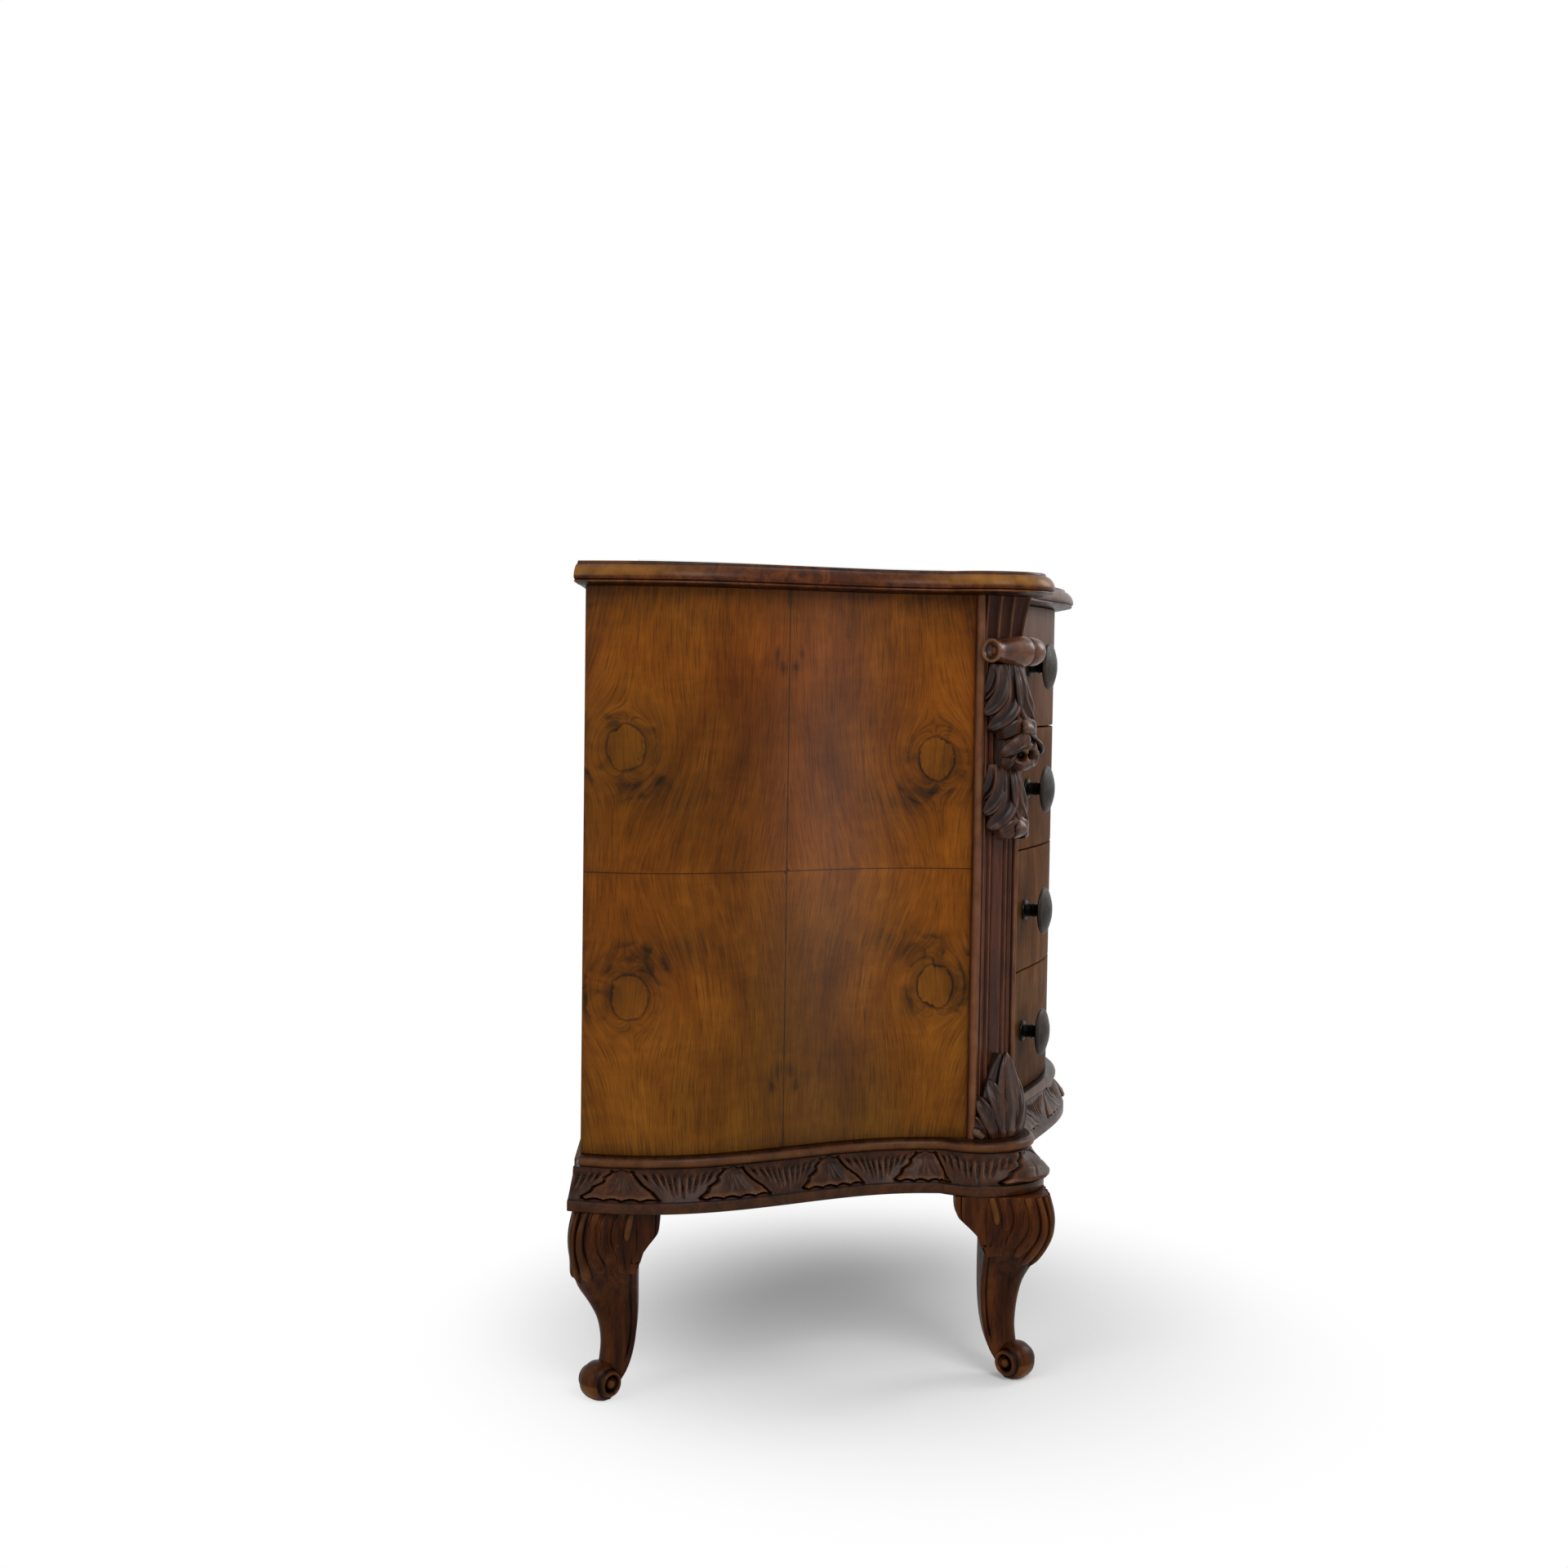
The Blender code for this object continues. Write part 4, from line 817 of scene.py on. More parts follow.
def plan_lengths(back, radius=EAR_RADIUS, step=0.0008):
    """The front, between its two mitres, and the right side from the mitre back, at even steps.

    Each comes with the distance along it. The mitre is where the ear faces both ways alike.
    """
    half = half_outline(back, radius, steps=900)
    reach = np.hypot(*(half[:, :2] - EAR_CENTRE).T)
    on_ear = (half[:, 2] > 0.3) & (half[:, 3] > 0.3) & (reach < radius + 1e-6)
    mitre = int(np.argmin(np.abs(half[:, 2] - half[:, 3]) + 9.0 * ~on_ear))

    def evenly(run):
        """The run's places and normals again at even distances along it."""
        long = np.concatenate([[0.0], np.cumsum(np.hypot(*np.diff(run[:, :2], axis=0).T))])
        keep = np.concatenate([[True], np.diff(long) > 1e-9])
        run, long = run[keep], long[keep]
        even = np.linspace(0.0, long[-1], max(int(long[-1] / step), 8) + 1)
        spaced = np.column_stack([np.interp(even, long, column) for column in run.T])
        spaced[:, 2:] /= np.hypot(spaced[:, 2], spaced[:, 3])[:, None]
        return spaced, even

    front_half, front_long = evenly(half[: mitre + 1])
    left = front_half[:0:-1].copy()
    left[:, [0, 2]] *= -1
    front_long = np.concatenate([-front_long[:0:-1], front_long])
    return np.concatenate([left, front_half]), front_long, *evenly(half[mitre:])


def add_length(name, points, relief, replaced, material, smooth_angle=40.0):
    """A moulding from its grid of points, whose rows are closed sections, capped at both ends."""
    relief = np.broadcast_to(relief, points.shape[:2])
    faces = tube_faces(*points.shape[:2])
    made = add_surface(name, points, faces, {"relief": relief}, smooth_angle=smooth_angle)
    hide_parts(replaced)
    return dress(made, material)


bead_low, bead_high = heights("base_bead_left")
bead_radius = (bead_high - bead_low) / 2
bead_turn = np.linspace(-math.pi / 2, math.pi / 2, BEAD_SIDES)
bead_round = np.column_stack(
    [
        BEAD_PROUD - bead_radius + bead_radius * np.cos(bead_turn),
        bead_low + bead_radius * (1 + np.sin(bead_turn)),
    ]
)
bead_section = np.concatenate([[(-BEAD_GAP, bead_low)], bead_round, [(-BEAD_GAP, bead_high)]])
# The bead's round is painted paler, as wear and a painted highlight, and its top and bottom
# darker, as painted shade where it meets the case and the plinth
bead_wear_and_shade = 0.55 * np.cos(bead_turn) ** 2 - 0.5 * np.abs(np.sin(bead_turn)) ** 6
bead_wear_and_shade = np.concatenate([[-0.8], bead_wear_and_shade, [-0.8]])
front_run, _, side_run, _ = plan_lengths(0.0, step=BEAD_STEP)
for name, run, side in (("front", front_run, 1), ("left", side_run, -1), ("right", side_run, 1)):
    points = carried(run, bead_section, side)
    add_length("base_bead_turned_" + name, points, bead_wear_and_shade, "base_bead_" + name, bead_walnut)


# Plinth. Its face flares down to a plain fillet and is carved all along: leaves that widen to a
# scalloped, lifted hem, with fans of tapering gouge cuts between them. One leaf wraps each front
# ear, over the mitre.
PLINTH_FLARE, PLINTH_BOARD, PLINTH_FILLET, PLINTH_BACK = 0.024, 0.022, 0.012, -0.005
PLINTH_ARRIS, FILLET_QUIRK, FILLET_STEP = 0.0012, 0.0016, 0.0006
CORNER_SWELL, CORNER_SWELL_REACH, FRONT_SWELL, FRONT_SWELL_REACH = 0.0130, 0.034, 0.0060, 0.045
CORNER_LEAF, FRONT_LEAVES, SIDE_LEAF_STEP, SIDE_LEAF_LAST = 0.009, 9, 0.1135, 0.10
FACE_ROWS, FACE_BLUR, FACE_SHARP = 44, 5, 0.0015
# By share of the carved face's height: its reach as a share of the flare, and the swell's share
FACE_REACH = ((0.0, 0.35, 0.70, 1.0), (0.92, 0.66, 0.42, 0.34))
SWELL_SHARE = ((0.0, 0.10, 0.22, 0.50, 0.80, 1.0), (0.0, 0.75, 1.0, 0.85, 0.30, 0.0))
# A leaf's half width by share of height, from hem to top
LEAF_HALF = (
    (0.0, 0.10, 0.30, 0.52, 0.74, 0.86, 1.0),
    (0.0385, 0.0360, 0.0300, 0.0205, 0.0142, 0.0118, 0.0105),
)
LEAF_LIFT, LEAF_ROLL, VEIN_DEPTH, VEIN_HALF = 0.0034, 0.0010, 0.0009, 0.0016
CUT_DEPTH, TOP_CUT_DEPTH, HEM_CUT_DEPTH = 0.0032, 0.0018, 0.0024
GOUGES, GOUGE_DEPTH, GOUGE_FIRST, GOUGE_STEP = 5, 0.0028, 0.0030, 0.0090
carved_tones = (paint(24, 13, 8), paint(52, 29, 16), paint(70, 41, 22), paint(98, 64, 38))
carved_walnut = varnished_walnut(
    "carved_walnut", carved_tones, (16.0, 75.0, 75.0), gloss=0.32, wear_and_highlight=0.8, shine=0.13
)


def smooth_step(value):
    """From 0 to 1 over the value's own 0 to 1, level at both ends."""
    held = np.clip(value, 0.0, 1.0)
    return held * held * (3 - 2 * held)


def from_nearest(along, centres):
    """Each place's distance from the nearest of the centres, as a column."""
    centres = np.asarray(centres)
    nearest = np.abs(along[:, None] - centres[None, :]).argmin(axis=1)
    return (along - centres[nearest])[:, None]


def gouge_fan(y, t):
    """The depth of the gouge cuts by distance from their fan's middle and share of height.

    Each cut is a line that leans outwards as it climbs. Along it the depth is a sine that peaks
    near its top, and across it falls off straight to a half width that grows upwards.
    """
    fan = np.zeros_like(y * t)
    for step in range(GOUGES):
        for way in (-1, 1):
            wobble = 0.0018 * math.sin(7.1 * step + 2.3 * way)
            foot = 0.08 + 0.125 * max(step - 0.5, 0) + 0.06 * math.sin(3.3 * step + 1.7 * way)
            crest = 0.93 - 0.09 * abs(math.sin(2.7 * step + way))
            centre = way * (GOUGE_FIRST + GOUGE_STEP * step) * (0.46 + 0.60 * t**1.2) + wobble
            span = np.clip((t - foot) / (crest - foot), 0, 1)
            shape = np.where((span > 0) & (span < 1), np.sin(math.pi * span**1.25), 0.0)
            across = np.clip(1 - np.abs(y - centre) / (0.0009 + 0.0027 * span), 0, 1)
            fan = np.maximum(fan, GOUGE_DEPTH * shape * across)
    return fan


def frieze_depth(along, up, centres):
    """How far the carved face stands out at a place along the plinth and a share of its height.

    A leaf's half width narrows from hem to top and waves like torn edges. Inside it the surface
    lifts towards the hem, rolls from side to side and is cut by three veins that fan down. Round
    it runs a cut, and between two leaves lies a fan of gouge cuts.
    """
    x, t = from_nearest(along, centres), up[None, :]
    way = np.sign(x)
    torn = 0.0016 * np.abs(np.sin(3.4 * math.pi * t + 1.9 * way))
    torn = torn + 0.0007 * np.sin(21 * t + 2 * way)
    half = np.interp(t, *LEAF_HALF) - torn
    edge = half - np.abs(x)
    crown = 0.905 + 0.028 * np.cos(x / 0.0068 * math.pi)
    hem = 0.060 + 0.050 * np.abs(np.sin(x / 0.0085 * math.pi / 2 + 0.4))
    inside = smooth_step((crown - t) / 0.03) * smooth_step((t - hem) / 0.025)
    inside = inside * smooth_step(edge / 0.0012)
    roll = np.cos(np.clip(x / half, -1, 1) * math.pi * 1.5) ** 2
    leaf = -0.0006 + LEAF_LIFT * (1 - t) ** 1.6 + LEAF_ROLL * roll * (1 - t)
    vein = np.zeros_like(x * t)
    for lean in (-0.34, 0.0, 0.34):
        across = np.clip(1 - np.abs(x - lean * half * (1.15 - t)) / VEIN_HALF, 0, 1)
        vein = np.maximum(vein, VEIN_DEPTH * across * smooth_step((t - 0.18) / 0.2))
    cut = CUT_DEPTH * np.exp(-(((edge + 0.0006) / 0.0017) ** 2))
    cut = cut * smooth_step((0.97 - t) / 0.06) * smooth_step((t - 0.02) / 0.05)
    top_cut = TOP_CUT_DEPTH * np.exp(-(((t - crown - 0.015) / 0.025) ** 2))
    top_cut = top_cut * smooth_step(edge / 0.001)
    hem_cut = HEM_CUT_DEPTH * np.exp(-(((t - hem + 0.018) / 0.020) ** 2))
    hem_cut = hem_cut * smooth_step((edge + 0.004) / 0.004)
    gouges = gouge_fan(from_nearest(along, (centres[:-1] + centres[1:]) / 2), t)
    ground = -gouges * (1 - smooth_step((edge + 0.0022) / 0.0016))
    frame = smooth_step(t / 0.03) * smooth_step((1 - t) / 0.04)
    return frame * (inside * (leaf - vein) + (1 - inside) * (ground - cut - top_cut - hem_cut))


def blurred(field, size):
    """The field averaged over a window each way, by running sums, with the edges held."""
    window = 2 * size + 1
    for axis in (0, 1):
        lines = np.moveaxis(field, axis, 0)
        total = np.cumsum(np.pad(lines, [(size + 1, size), (0, 0)], mode="edge"), axis=0)
        field = np.moveaxis((total[window:] - total[:-window]) / window, 0, axis)
    return field


plinth_low, plinth_high = heights("plinth_left")
fillet_high = plinth_low + PLINTH_FILLET
face_up = np.linspace(0.0, 1.0, FACE_ROWS)
plinth_section = np.concatenate(
    [
        [
            (-PLINTH_BOARD, plinth_low),
            (PLINTH_FLARE - PLINTH_ARRIS, plinth_low),
            (PLINTH_FLARE, plinth_low + PLINTH_ARRIS),
            (PLINTH_FLARE, fillet_high - FILLET_QUIRK),
            (PLINTH_FLARE - FILLET_STEP, fillet_high - FILLET_STEP),
        ],
        np.column_stack(
            [
                PLINTH_FLARE * np.interp(face_up, *FACE_REACH),
                fillet_high + face_up * (plinth_high - fillet_high),
            ]
        ),
        [(-PLINTH_BOARD, plinth_high)],
    ]
)
FILLET_POINTS, QUIRK_POINT, FACE_POINTS, FACE_FOOT = slice(2, 4), 4, slice(5, -1), slice(5, 7)
front_run, front_long, side_run, side_long = plan_lengths(PLINTH_BACK)
front_corners = (front_long[0] + CORNER_LEAF, front_long[-1] - CORNER_LEAF)
front_leaves = np.linspace(*front_corners, FRONT_LEAVES)
side_leaves = np.arange(-CORNER_LEAF, side_long[-1] + SIDE_LEAF_LAST, SIDE_LEAF_STEP)
for name, run, long, leaves, corners, side in (
    ("front", front_run, front_long, front_leaves, front_corners, 1),
    ("left", side_run, side_long, side_leaves, (-CORNER_LEAF,), -1),
    ("right", side_run, side_long, side_leaves, (-CORNER_LEAF,), 1),
):
    carving = frieze_depth(long, face_up, leaves)
    swell = np.zeros(len(run))
    for corner in corners:
        swell += CORNER_SWELL * np.exp(-(((long - corner) / CORNER_SWELL_REACH) ** 2))
    if name == "front":
        swell += FRONT_SWELL * np.exp(-((long / FRONT_SWELL_REACH) ** 2))
    reach = np.repeat(plinth_section[None, :, 0], len(run), axis=0)
    reach[:, FACE_POINTS] += carving + swell[:, None] * np.interp(face_up, *SWELL_SHARE)
    x = side * (run[:, :1] + reach * run[:, 2:3])
    points = in_world(x, run[:, 1:2] + reach * run[:, 3:], plinth_section[:, 1])
    relief = np.zeros(points.shape[:2])
    # The carving is painted paler on its crowns, as wear and a painted highlight, and darker in
    # its cuts, as painted shade
    sharp = np.clip((carving - blurred(carving, FACE_BLUR)) / FACE_SHARP, -1, 1)
    relief[:, FACE_POINTS] = sharp + np.clip(carving / 0.010, 0, 0.20)
    # The face's foot and the quirk are painted dark as shade, the fillet paler as wear and a
    # painted highlight
    relief[:, FACE_FOOT] = np.minimum(relief[:, FACE_FOOT], -0.5)
    relief[:, FILLET_POINTS] = 0.35
    relief[:, QUIRK_POINT] = -0.7
    add_length("plinth_carved_" + name, points, relief, "plinth_" + name, carved_walnut, 60.0)


# Corner posts. Canted walnut pilasters, each with a full round bead that covers the panel's
# edge, a smaller one by the drawers, a sunk field with two fine reeds, and a fluted capital that
# flares out to the top board.
CANT_SIDE, CANT_FRONT = np.array([0.465, 0.4185]), np.array([0.416, 0.4675])
POST_CORE = np.array([(0.402, 0.4675), (0.402, 0.4035), (0.439, 0.4035), (0.439, 0.4185)])
CAPITAL_HEIGHT, CAPITAL_FLARE, CAPITAL_CORNER_FLARE = 0.050, 0.0045, 0.0070
EDGE_BEAD_HUB, EDGE_BEAD_RADIUS = (0.4625, 0.4165), 0.0050
EDGE_BEAD_SPAN, EDGE_BEAD_SIDES = (-120.0, 95.0), 22
FRONT_BEAD_PLACE, FRONT_BEAD_HALF, FRONT_BEAD_RISE = 0.905, 0.088, 0.0026
FIELD_EDGE, QUIRK_DEPTH, REED_RISE, REED_CUT, FIELD_SUNK = 0.70, 0.0022, 0.0013, 0.0011, 0.0005
FLUTE_START, FLUTE_STEP, FLUTE_SHARE, FLUTE_RISE, FLUTE_DEPTH = -0.86, 0.62, 0.86, 0.0014, 0.0052
POST_FIRST_SHARE, POST_COLUMNS, SHAFT_ROWS, CAPITAL_ROWS = -0.87, 115, 60, 50
POST_BLUR, POST_SHARP = 4, 0.0009
DIAGONAL = math.sqrt(0.5)
cant_middle = (CANT_SIDE + CANT_FRONT) / 2
cant_half = float(np.hypot(*(CANT_FRONT - CANT_SIDE))) / 2
post_low, post_high = heights("corner_post_left")
capital_low = post_high - CAPITAL_HEIGHT
post_tones = (paint(40, 19, 12), paint(66, 34, 22), paint(86, 50, 32), paint(124, 84, 56))
post_walnut = varnished_walnut("post_walnut", post_tones, (75.0, 75.0, 9.0), gloss=0.32)


def on_post(side, across, out, z):
    """World points from places on a post: across it to the drawers, out from its face, and up."""
    x = cant_middle[0] - (across - out) * DIAGONAL
    u = cant_middle[1] + (across + out) * DIAGONAL
    return in_world(side * x, u, z)


def post_face(share, height):
    """How far the post's face stands out at a share of its half width and a height.

    Down the shaft there is a round bead at the drawers' edge, a quirk at both, and two reeds on
    the sunk field. In the capital three hollows are cut, and they sweep out with height, most
    towards the drawers.
    """
    edge = np.abs(share)
    shaft = FRONT_BEAD_RISE * np.sqrt(
        np.clip(1 - ((share - FRONT_BEAD_PLACE) / FRONT_BEAD_HALF) ** 2, 0, 1)
    )
    shaft = shaft - FIELD_SUNK * (edge < FIELD_EDGE)
    for place, size, rise in (
        (0.775, 0.035, -QUIRK_DEPTH),
        (0.54, 0.040, -REED_CUT),
        (0.42, 0.055, REED_RISE),
        (0.30, 0.040, -REED_CUT),
    ):
        shaft = shaft + rise * np.exp(-(((edge - place) / size) ** 2))
    flute = np.abs(((share - FLUTE_START) / FLUTE_STEP) % 1.0 - 0.5) * 2
    hollow = FLUTE_RISE - FLUTE_DEPTH * np.sqrt(np.clip(1 - (flute / FLUTE_SHARE) ** 2, 0, 1))
    capital = np.clip((height - capital_low) / CAPITAL_HEIGHT, 0, 1)
    change = smooth_step(capital / 0.10) * smooth_step((share - FLUTE_START) / 0.05)
    flare = CAPITAL_FLARE + CAPITAL_CORNER_FLARE * smooth_step((share - 0.2) / 0.8)
    return (1 - change) * shaft + change * (hollow + flare * capital**1.5)


edge_turn = np.radians(np.linspace(*EDGE_BEAD_SPAN, EDGE_BEAD_SIDES))
edge_round = np.column_stack([np.cos(edge_turn), np.sin(edge_turn)])
edge_bead = np.array(EDGE_BEAD_HUB) + EDGE_BEAD_RADIUS * edge_round
# The edge bead is painted paler where it faces out, as wear and a painted highlight, and dark at
# both ends, as painted shade against the panel and the face
edge_bead_highlight_and_shade = 0.75 * np.cos(edge_turn - 0.3) - 1.5 * (np.abs(edge_turn + 0.22) > 1.75)
post_share = np.linspace(POST_FIRST_SHARE, 1.0, POST_COLUMNS)
shaft_rows = np.linspace(post_low, capital_low, SHAFT_ROWS)
capital_rows = np.linspace(capital_low, post_high, CAPITAL_ROWS)[1:]
post_rows = np.concatenate([shaft_rows, capital_rows])[:, None]
post_out = post_face(post_share, post_rows)
post_out[:, 0] = 0.0
capital = np.clip((post_rows[:, 0] - capital_low) / CAPITAL_HEIGHT, 0, 1)
post_out[:, -1] = (CAPITAL_FLARE + CAPITAL_CORNER_FLARE) * capital**1.5
# The face is painted paler on its reeds and flutes, as wear and a painted highlight, and darker
# in its cuts, as painted shade
post_relief = np.concatenate(
    [
        np.repeat(np.clip(edge_bead_highlight_and_shade, -1, 1)[None, :], len(post_rows), axis=0),
        np.clip((post_out - blurred(post_out, POST_BLUR)) / POST_SHARP, -1, 0.8),
        np.zeros((len(post_rows), len(POST_CORE))),
    ],
    axis=1,
)
for side, label in ((-1, "left"), (1, "right")):
    bead = in_world(side * edge_bead[:, 0], edge_bead[:, 1], post_rows)
    face = on_post(side, post_share * cant_half, post_out, post_rows)
    core = in_world(side * POST_CORE[:, 0], POST_CORE[:, 1], post_rows)
    points = np.concatenate([bead, face, core], axis=1)
    name = "corner_post_fluted_" + label
    add_length(name, points, post_relief, "corner_post_" + label, post_walnut, 35.0)


# Post roll. A turned roll lies across each post under the flutes: a hollow scroll end with an
# eye towards the back, a neck, a pear-shaped body and a drum towards the drawers.
ROLL_LENGTH, ROLL_OUT, ROLL_SIDES = 0.086, 0.0172, 44
roll_tones = (paint(40, 20, 11), paint(82, 46, 26), paint(112, 68, 38), paint(140, 100, 66))
roll_walnut = varnished_walnut(
    "roll_walnut", roll_tones, (50.0, 50.0, 50.0), gloss=0.26, wear_and_highlight=0.7, shine=0.35
)
# Share of the length, radius, and how it is painted: paler above 0, as wear and a painted
# highlight, and darker below 0, as painted shade in a hollow or a cut
roll_profile = np.array(
    [
        (0.055, 0.0005, 0.0), (0.056, 0.0034, 0.0), (0.042, 0.0044, -0.7), (0.030, 0.0062, -0.7),
        (0.036, 0.0084, -0.7), (0.010, 0.0096, 0.6), (0.000, 0.0112, 0.6), (0.006, 0.0126, 0.6),
        (0.030, 0.0130, 0.0), (0.052, 0.0124, 0.0), (0.070, 0.0112, 0.0), (0.110, 0.0108, 0.0),
        (0.180, 0.0113, 0.0), (0.280, 0.0128, 0.0), (0.380, 0.0144, 0.25), (0.480, 0.0157, 0.25),
        (0.570, 0.0165, 0.25), (0.640, 0.0167, 0.0), (0.675, 0.0160, -0.8), (0.690, 0.0140, -0.8),
        (0.700, 0.0138, -0.8), (0.712, 0.0150, 0.0), (0.740, 0.0157, 0.0), (0.820, 0.0158, 0.0),
        (0.890, 0.0150, 0.0), (0.940, 0.0134, 0.0), (0.960, 0.0120, 0.0), (0.965, 0.0090, 0.0),
        (0.960, 0.0040, 0.0), (0.962, 0.0005, 0.0),
    ]
)
roll_height = sum(heights("post_roll_left")) / 2
roll_turn = np.linspace(0.0, math.tau, ROLL_SIDES, endpoint=False)
roll_across = (roll_profile[:, :1] - 0.5) * ROLL_LENGTH
roll_out = ROLL_OUT + roll_profile[:, 1:2] * np.cos(roll_turn)
roll_up = roll_height + roll_profile[:, 1:2] * np.sin(roll_turn)
for side, label in ((-1, "left"), (1, "right")):
    points = on_post(side, roll_across, roll_out, roll_up)
    name = "post_roll_turned_" + label
    add_length(name, points, roll_profile[:, 2:], "post_roll_" + label, roll_walnut, 50.0)


# Post carving. Under each roll hang an acanthus leaf, a rosebud and a smaller leaf, and a last
# leaf stands on the base bead. All are carved walnut, glued on: rounded bodies overlaid with
# hollowed lobes that sweep down and outwards, the hanging ones with a turned-over lip.
UPPER_LEAF, LOWER_LEAF, LOWER_SCALE = (0.1500, 0.0740), (0.2575, 0.1815), (0.92, 0.86)
UPPER_FLARE, LOWER_FLARE, FOOT_FLARE = 2.2, 1.6, 1.5
BUD_BELOW, BUD_RADIUS, BUD_OUT, PETAL_SEAT, PETAL_SPAN = 0.1690, 0.0205, 0.0270, 0.82, 0.026
LOBE_STEPS, PETAL_STEPS, LOBE_SIDES, LOBE_TIP = 34, 26, 34, 0.80
BODY_HALF_TURN, BODY_SUNK, THINNEST, SUNK_IN_POST = 96.0, 0.0004, 0.0004, 0.001
# A leaf's outline: share of its height, half width and rise
hanging_outline = [
    (-0.02, 0.010, 0.014), (0.06, 0.020, 0.022), (0.20, 0.025, 0.026), (0.45, 0.0255, 0.0265),
    (0.75, 0.0235, 0.0235), (1.0, 0.0215, 0.019),
]
standing_outline = [
    (0.0, 0.027, 0.017), (0.12, 0.0295, 0.0195), (0.35, 0.0265, 0.0200), (0.60, 0.0195, 0.0165),
    (0.82, 0.010, 0.0135), (0.97, 0.002, 0.0115),
]
# A lobe: its share of hollow, then knots of the angle round the body from its middle, share of
# height, half width, thickness and lift off the body
hanging_lobes = [
    (0.95, [
        (74, 1.00, 0.0050, 0.0040, 0.000), (74, 0.84, 0.0072, 0.0050, 0.000),
        (80, 0.68, 0.0076, 0.0055, 0.001), (92, 0.55, 0.0056, 0.0044, 0.003),
        (99, 0.50, 0.0022, 0.0022, 0.004),
    ]),
    (0.95, [
        (48, 1.00, 0.0058, 0.0045, 0.000), (47, 0.76, 0.0080, 0.0060, 0.000),
        (55, 0.54, 0.0090, 0.0066, 0.001), (74, 0.38, 0.0080, 0.0060, 0.003),
        (93, 0.30, 0.0032, 0.0032, 0.006),
    ]),
    (0.95, [
        (20, 1.00, 0.0060, 0.0048, 0.000), (18, 0.72, 0.0088, 0.0066, 0.000),
        (23, 0.48, 0.0100, 0.0076, 0.001), (42, 0.28, 0.0096, 0.0070, 0.003),
        (68, 0.15, 0.0072, 0.0056, 0.004), (86, 0.09, 0.0022, 0.0024, 0.006),
    ]),
    (0.85, [
        (-4, 1.00, 0.0056, 0.0046, 0.000), (-4, 0.72, 0.0074, 0.0060, 0.001),
        (-2, 0.46, 0.0080, 0.0066, 0.001), (6, 0.28, 0.0072, 0.0060, 0.002),
        (16, 0.14, 0.0040, 0.0040, 0.003),
    ]),
    (0.35, [
        (4, 0.24, 0.0056, 0.0050, 0.001), (12, 0.15, 0.0086, 0.0058, 0.004),
        (34, 0.07, 0.0088, 0.0058, 0.006), (58, 0.01, 0.0066, 0.0044, 0.004),
        (72, -0.01, 0.0022, 0.0022, 0.002),
    ]),
    (0.30, [
        (0, 0.20, 0.0056, 0.0050, 0.002), (0, 0.10, 0.0088, 0.0055, 0.006),
        (0, 0.01, 0.0076, 0.0045, 0.006), (0, -0.04, 0.0022, 0.0020, 0.004),
    ]),
]
standing_lobes = [
    (0.45, [
        (6, 0.00, 0.0150, 0.0080, 0.001), (8, 0.28, 0.0185, 0.0088, 0.003),
        (8, 0.56, 0.0150, 0.0078, 0.003), (4, 0.82, 0.0095, 0.0060, 0.003),
        (0, 1.00, 0.0030, 0.0034, 0.003),
    ]),
    (0.70, [
        (16, 0.00, 0.0070, 0.0060, 0.003), (24, 0.22, 0.0098, 0.0070, 0.006),
        (36, 0.42, 0.0096, 0.0068, 0.006), (54, 0.60, 0.0072, 0.0058, 0.005),
        (66, 0.70, 0.0030, 0.0036, 0.005),
    ]),
    (0.70, [
        (34, 0.00, 0.0066, 0.0060, 0.003), (44, 0.16, 0.0092, 0.0066, 0.005),
        (60, 0.31, 0.0088, 0.0064, 0.005), (78, 0.43, 0.0066, 0.0056, 0.005),
        (89, 0.49, 0.0028, 0.0036, 0.005),
    ]),
    (0.60, [
        (66, 0.00, 0.0062, 0.0058, 0.001), (74, 0.11, 0.0078, 0.0060, 0.002),
        (86, 0.20, 0.0068, 0.0052, 0.003), (96, 0.26, 0.0028, 0.0034, 0.004),
    ]),
    (0.10, [
        (66, 0.02, 0.0046, 0.0040, 0.004), (80, 0.07, 0.0056, 0.0050, 0.005),
        (92, 0.09, 0.0050, 0.0045, 0.004), (98, 0.08, 0.0030, 0.0030, 0.002),
    ]),
]
# Petals that fold round the bud from above: angle round it, height over its middle, and as above
bud_petals = [
    (0.60, [
        (24, 0.021, 0.0040, 0.0030, 0.000), (40, 0.016, 0.0080, 0.0040, 0.003),
        (62, 0.010, 0.0092, 0.0045, 0.006), (86, 0.003, 0.0072, 0.0040, 0.009),
        (104, -0.004, 0.0030, 0.0020, 0.011),
    ]),
    (0.60, [
        (74, 0.006, 0.0040, 0.0030, 0.000), (84, -0.002, 0.0080, 0.0040, 0.004),
        (94, -0.010, 0.0070, 0.0040, 0.007), (104, -0.018, 0.0025, 0.0020, 0.010),
    ]),
]
# The drilled eyes of the bud: which way each looks, along the post, out of it and up
BUD_EYES = ((-0.74, 0.66, -0.16), (-0.20, 0.97, -0.06), (0.34, 0.90, -0.30))
leaf_tones = (paint(20, 11, 8), paint(56, 33, 23), paint(78, 49, 35), paint(128, 96, 76))
leaf_walnut = varnished_walnut(
    "leaf_walnut", leaf_tones, (60.0, 60.0, 22.0), gloss=0.26, wear_and_highlight=0.9, shine=0.24
)


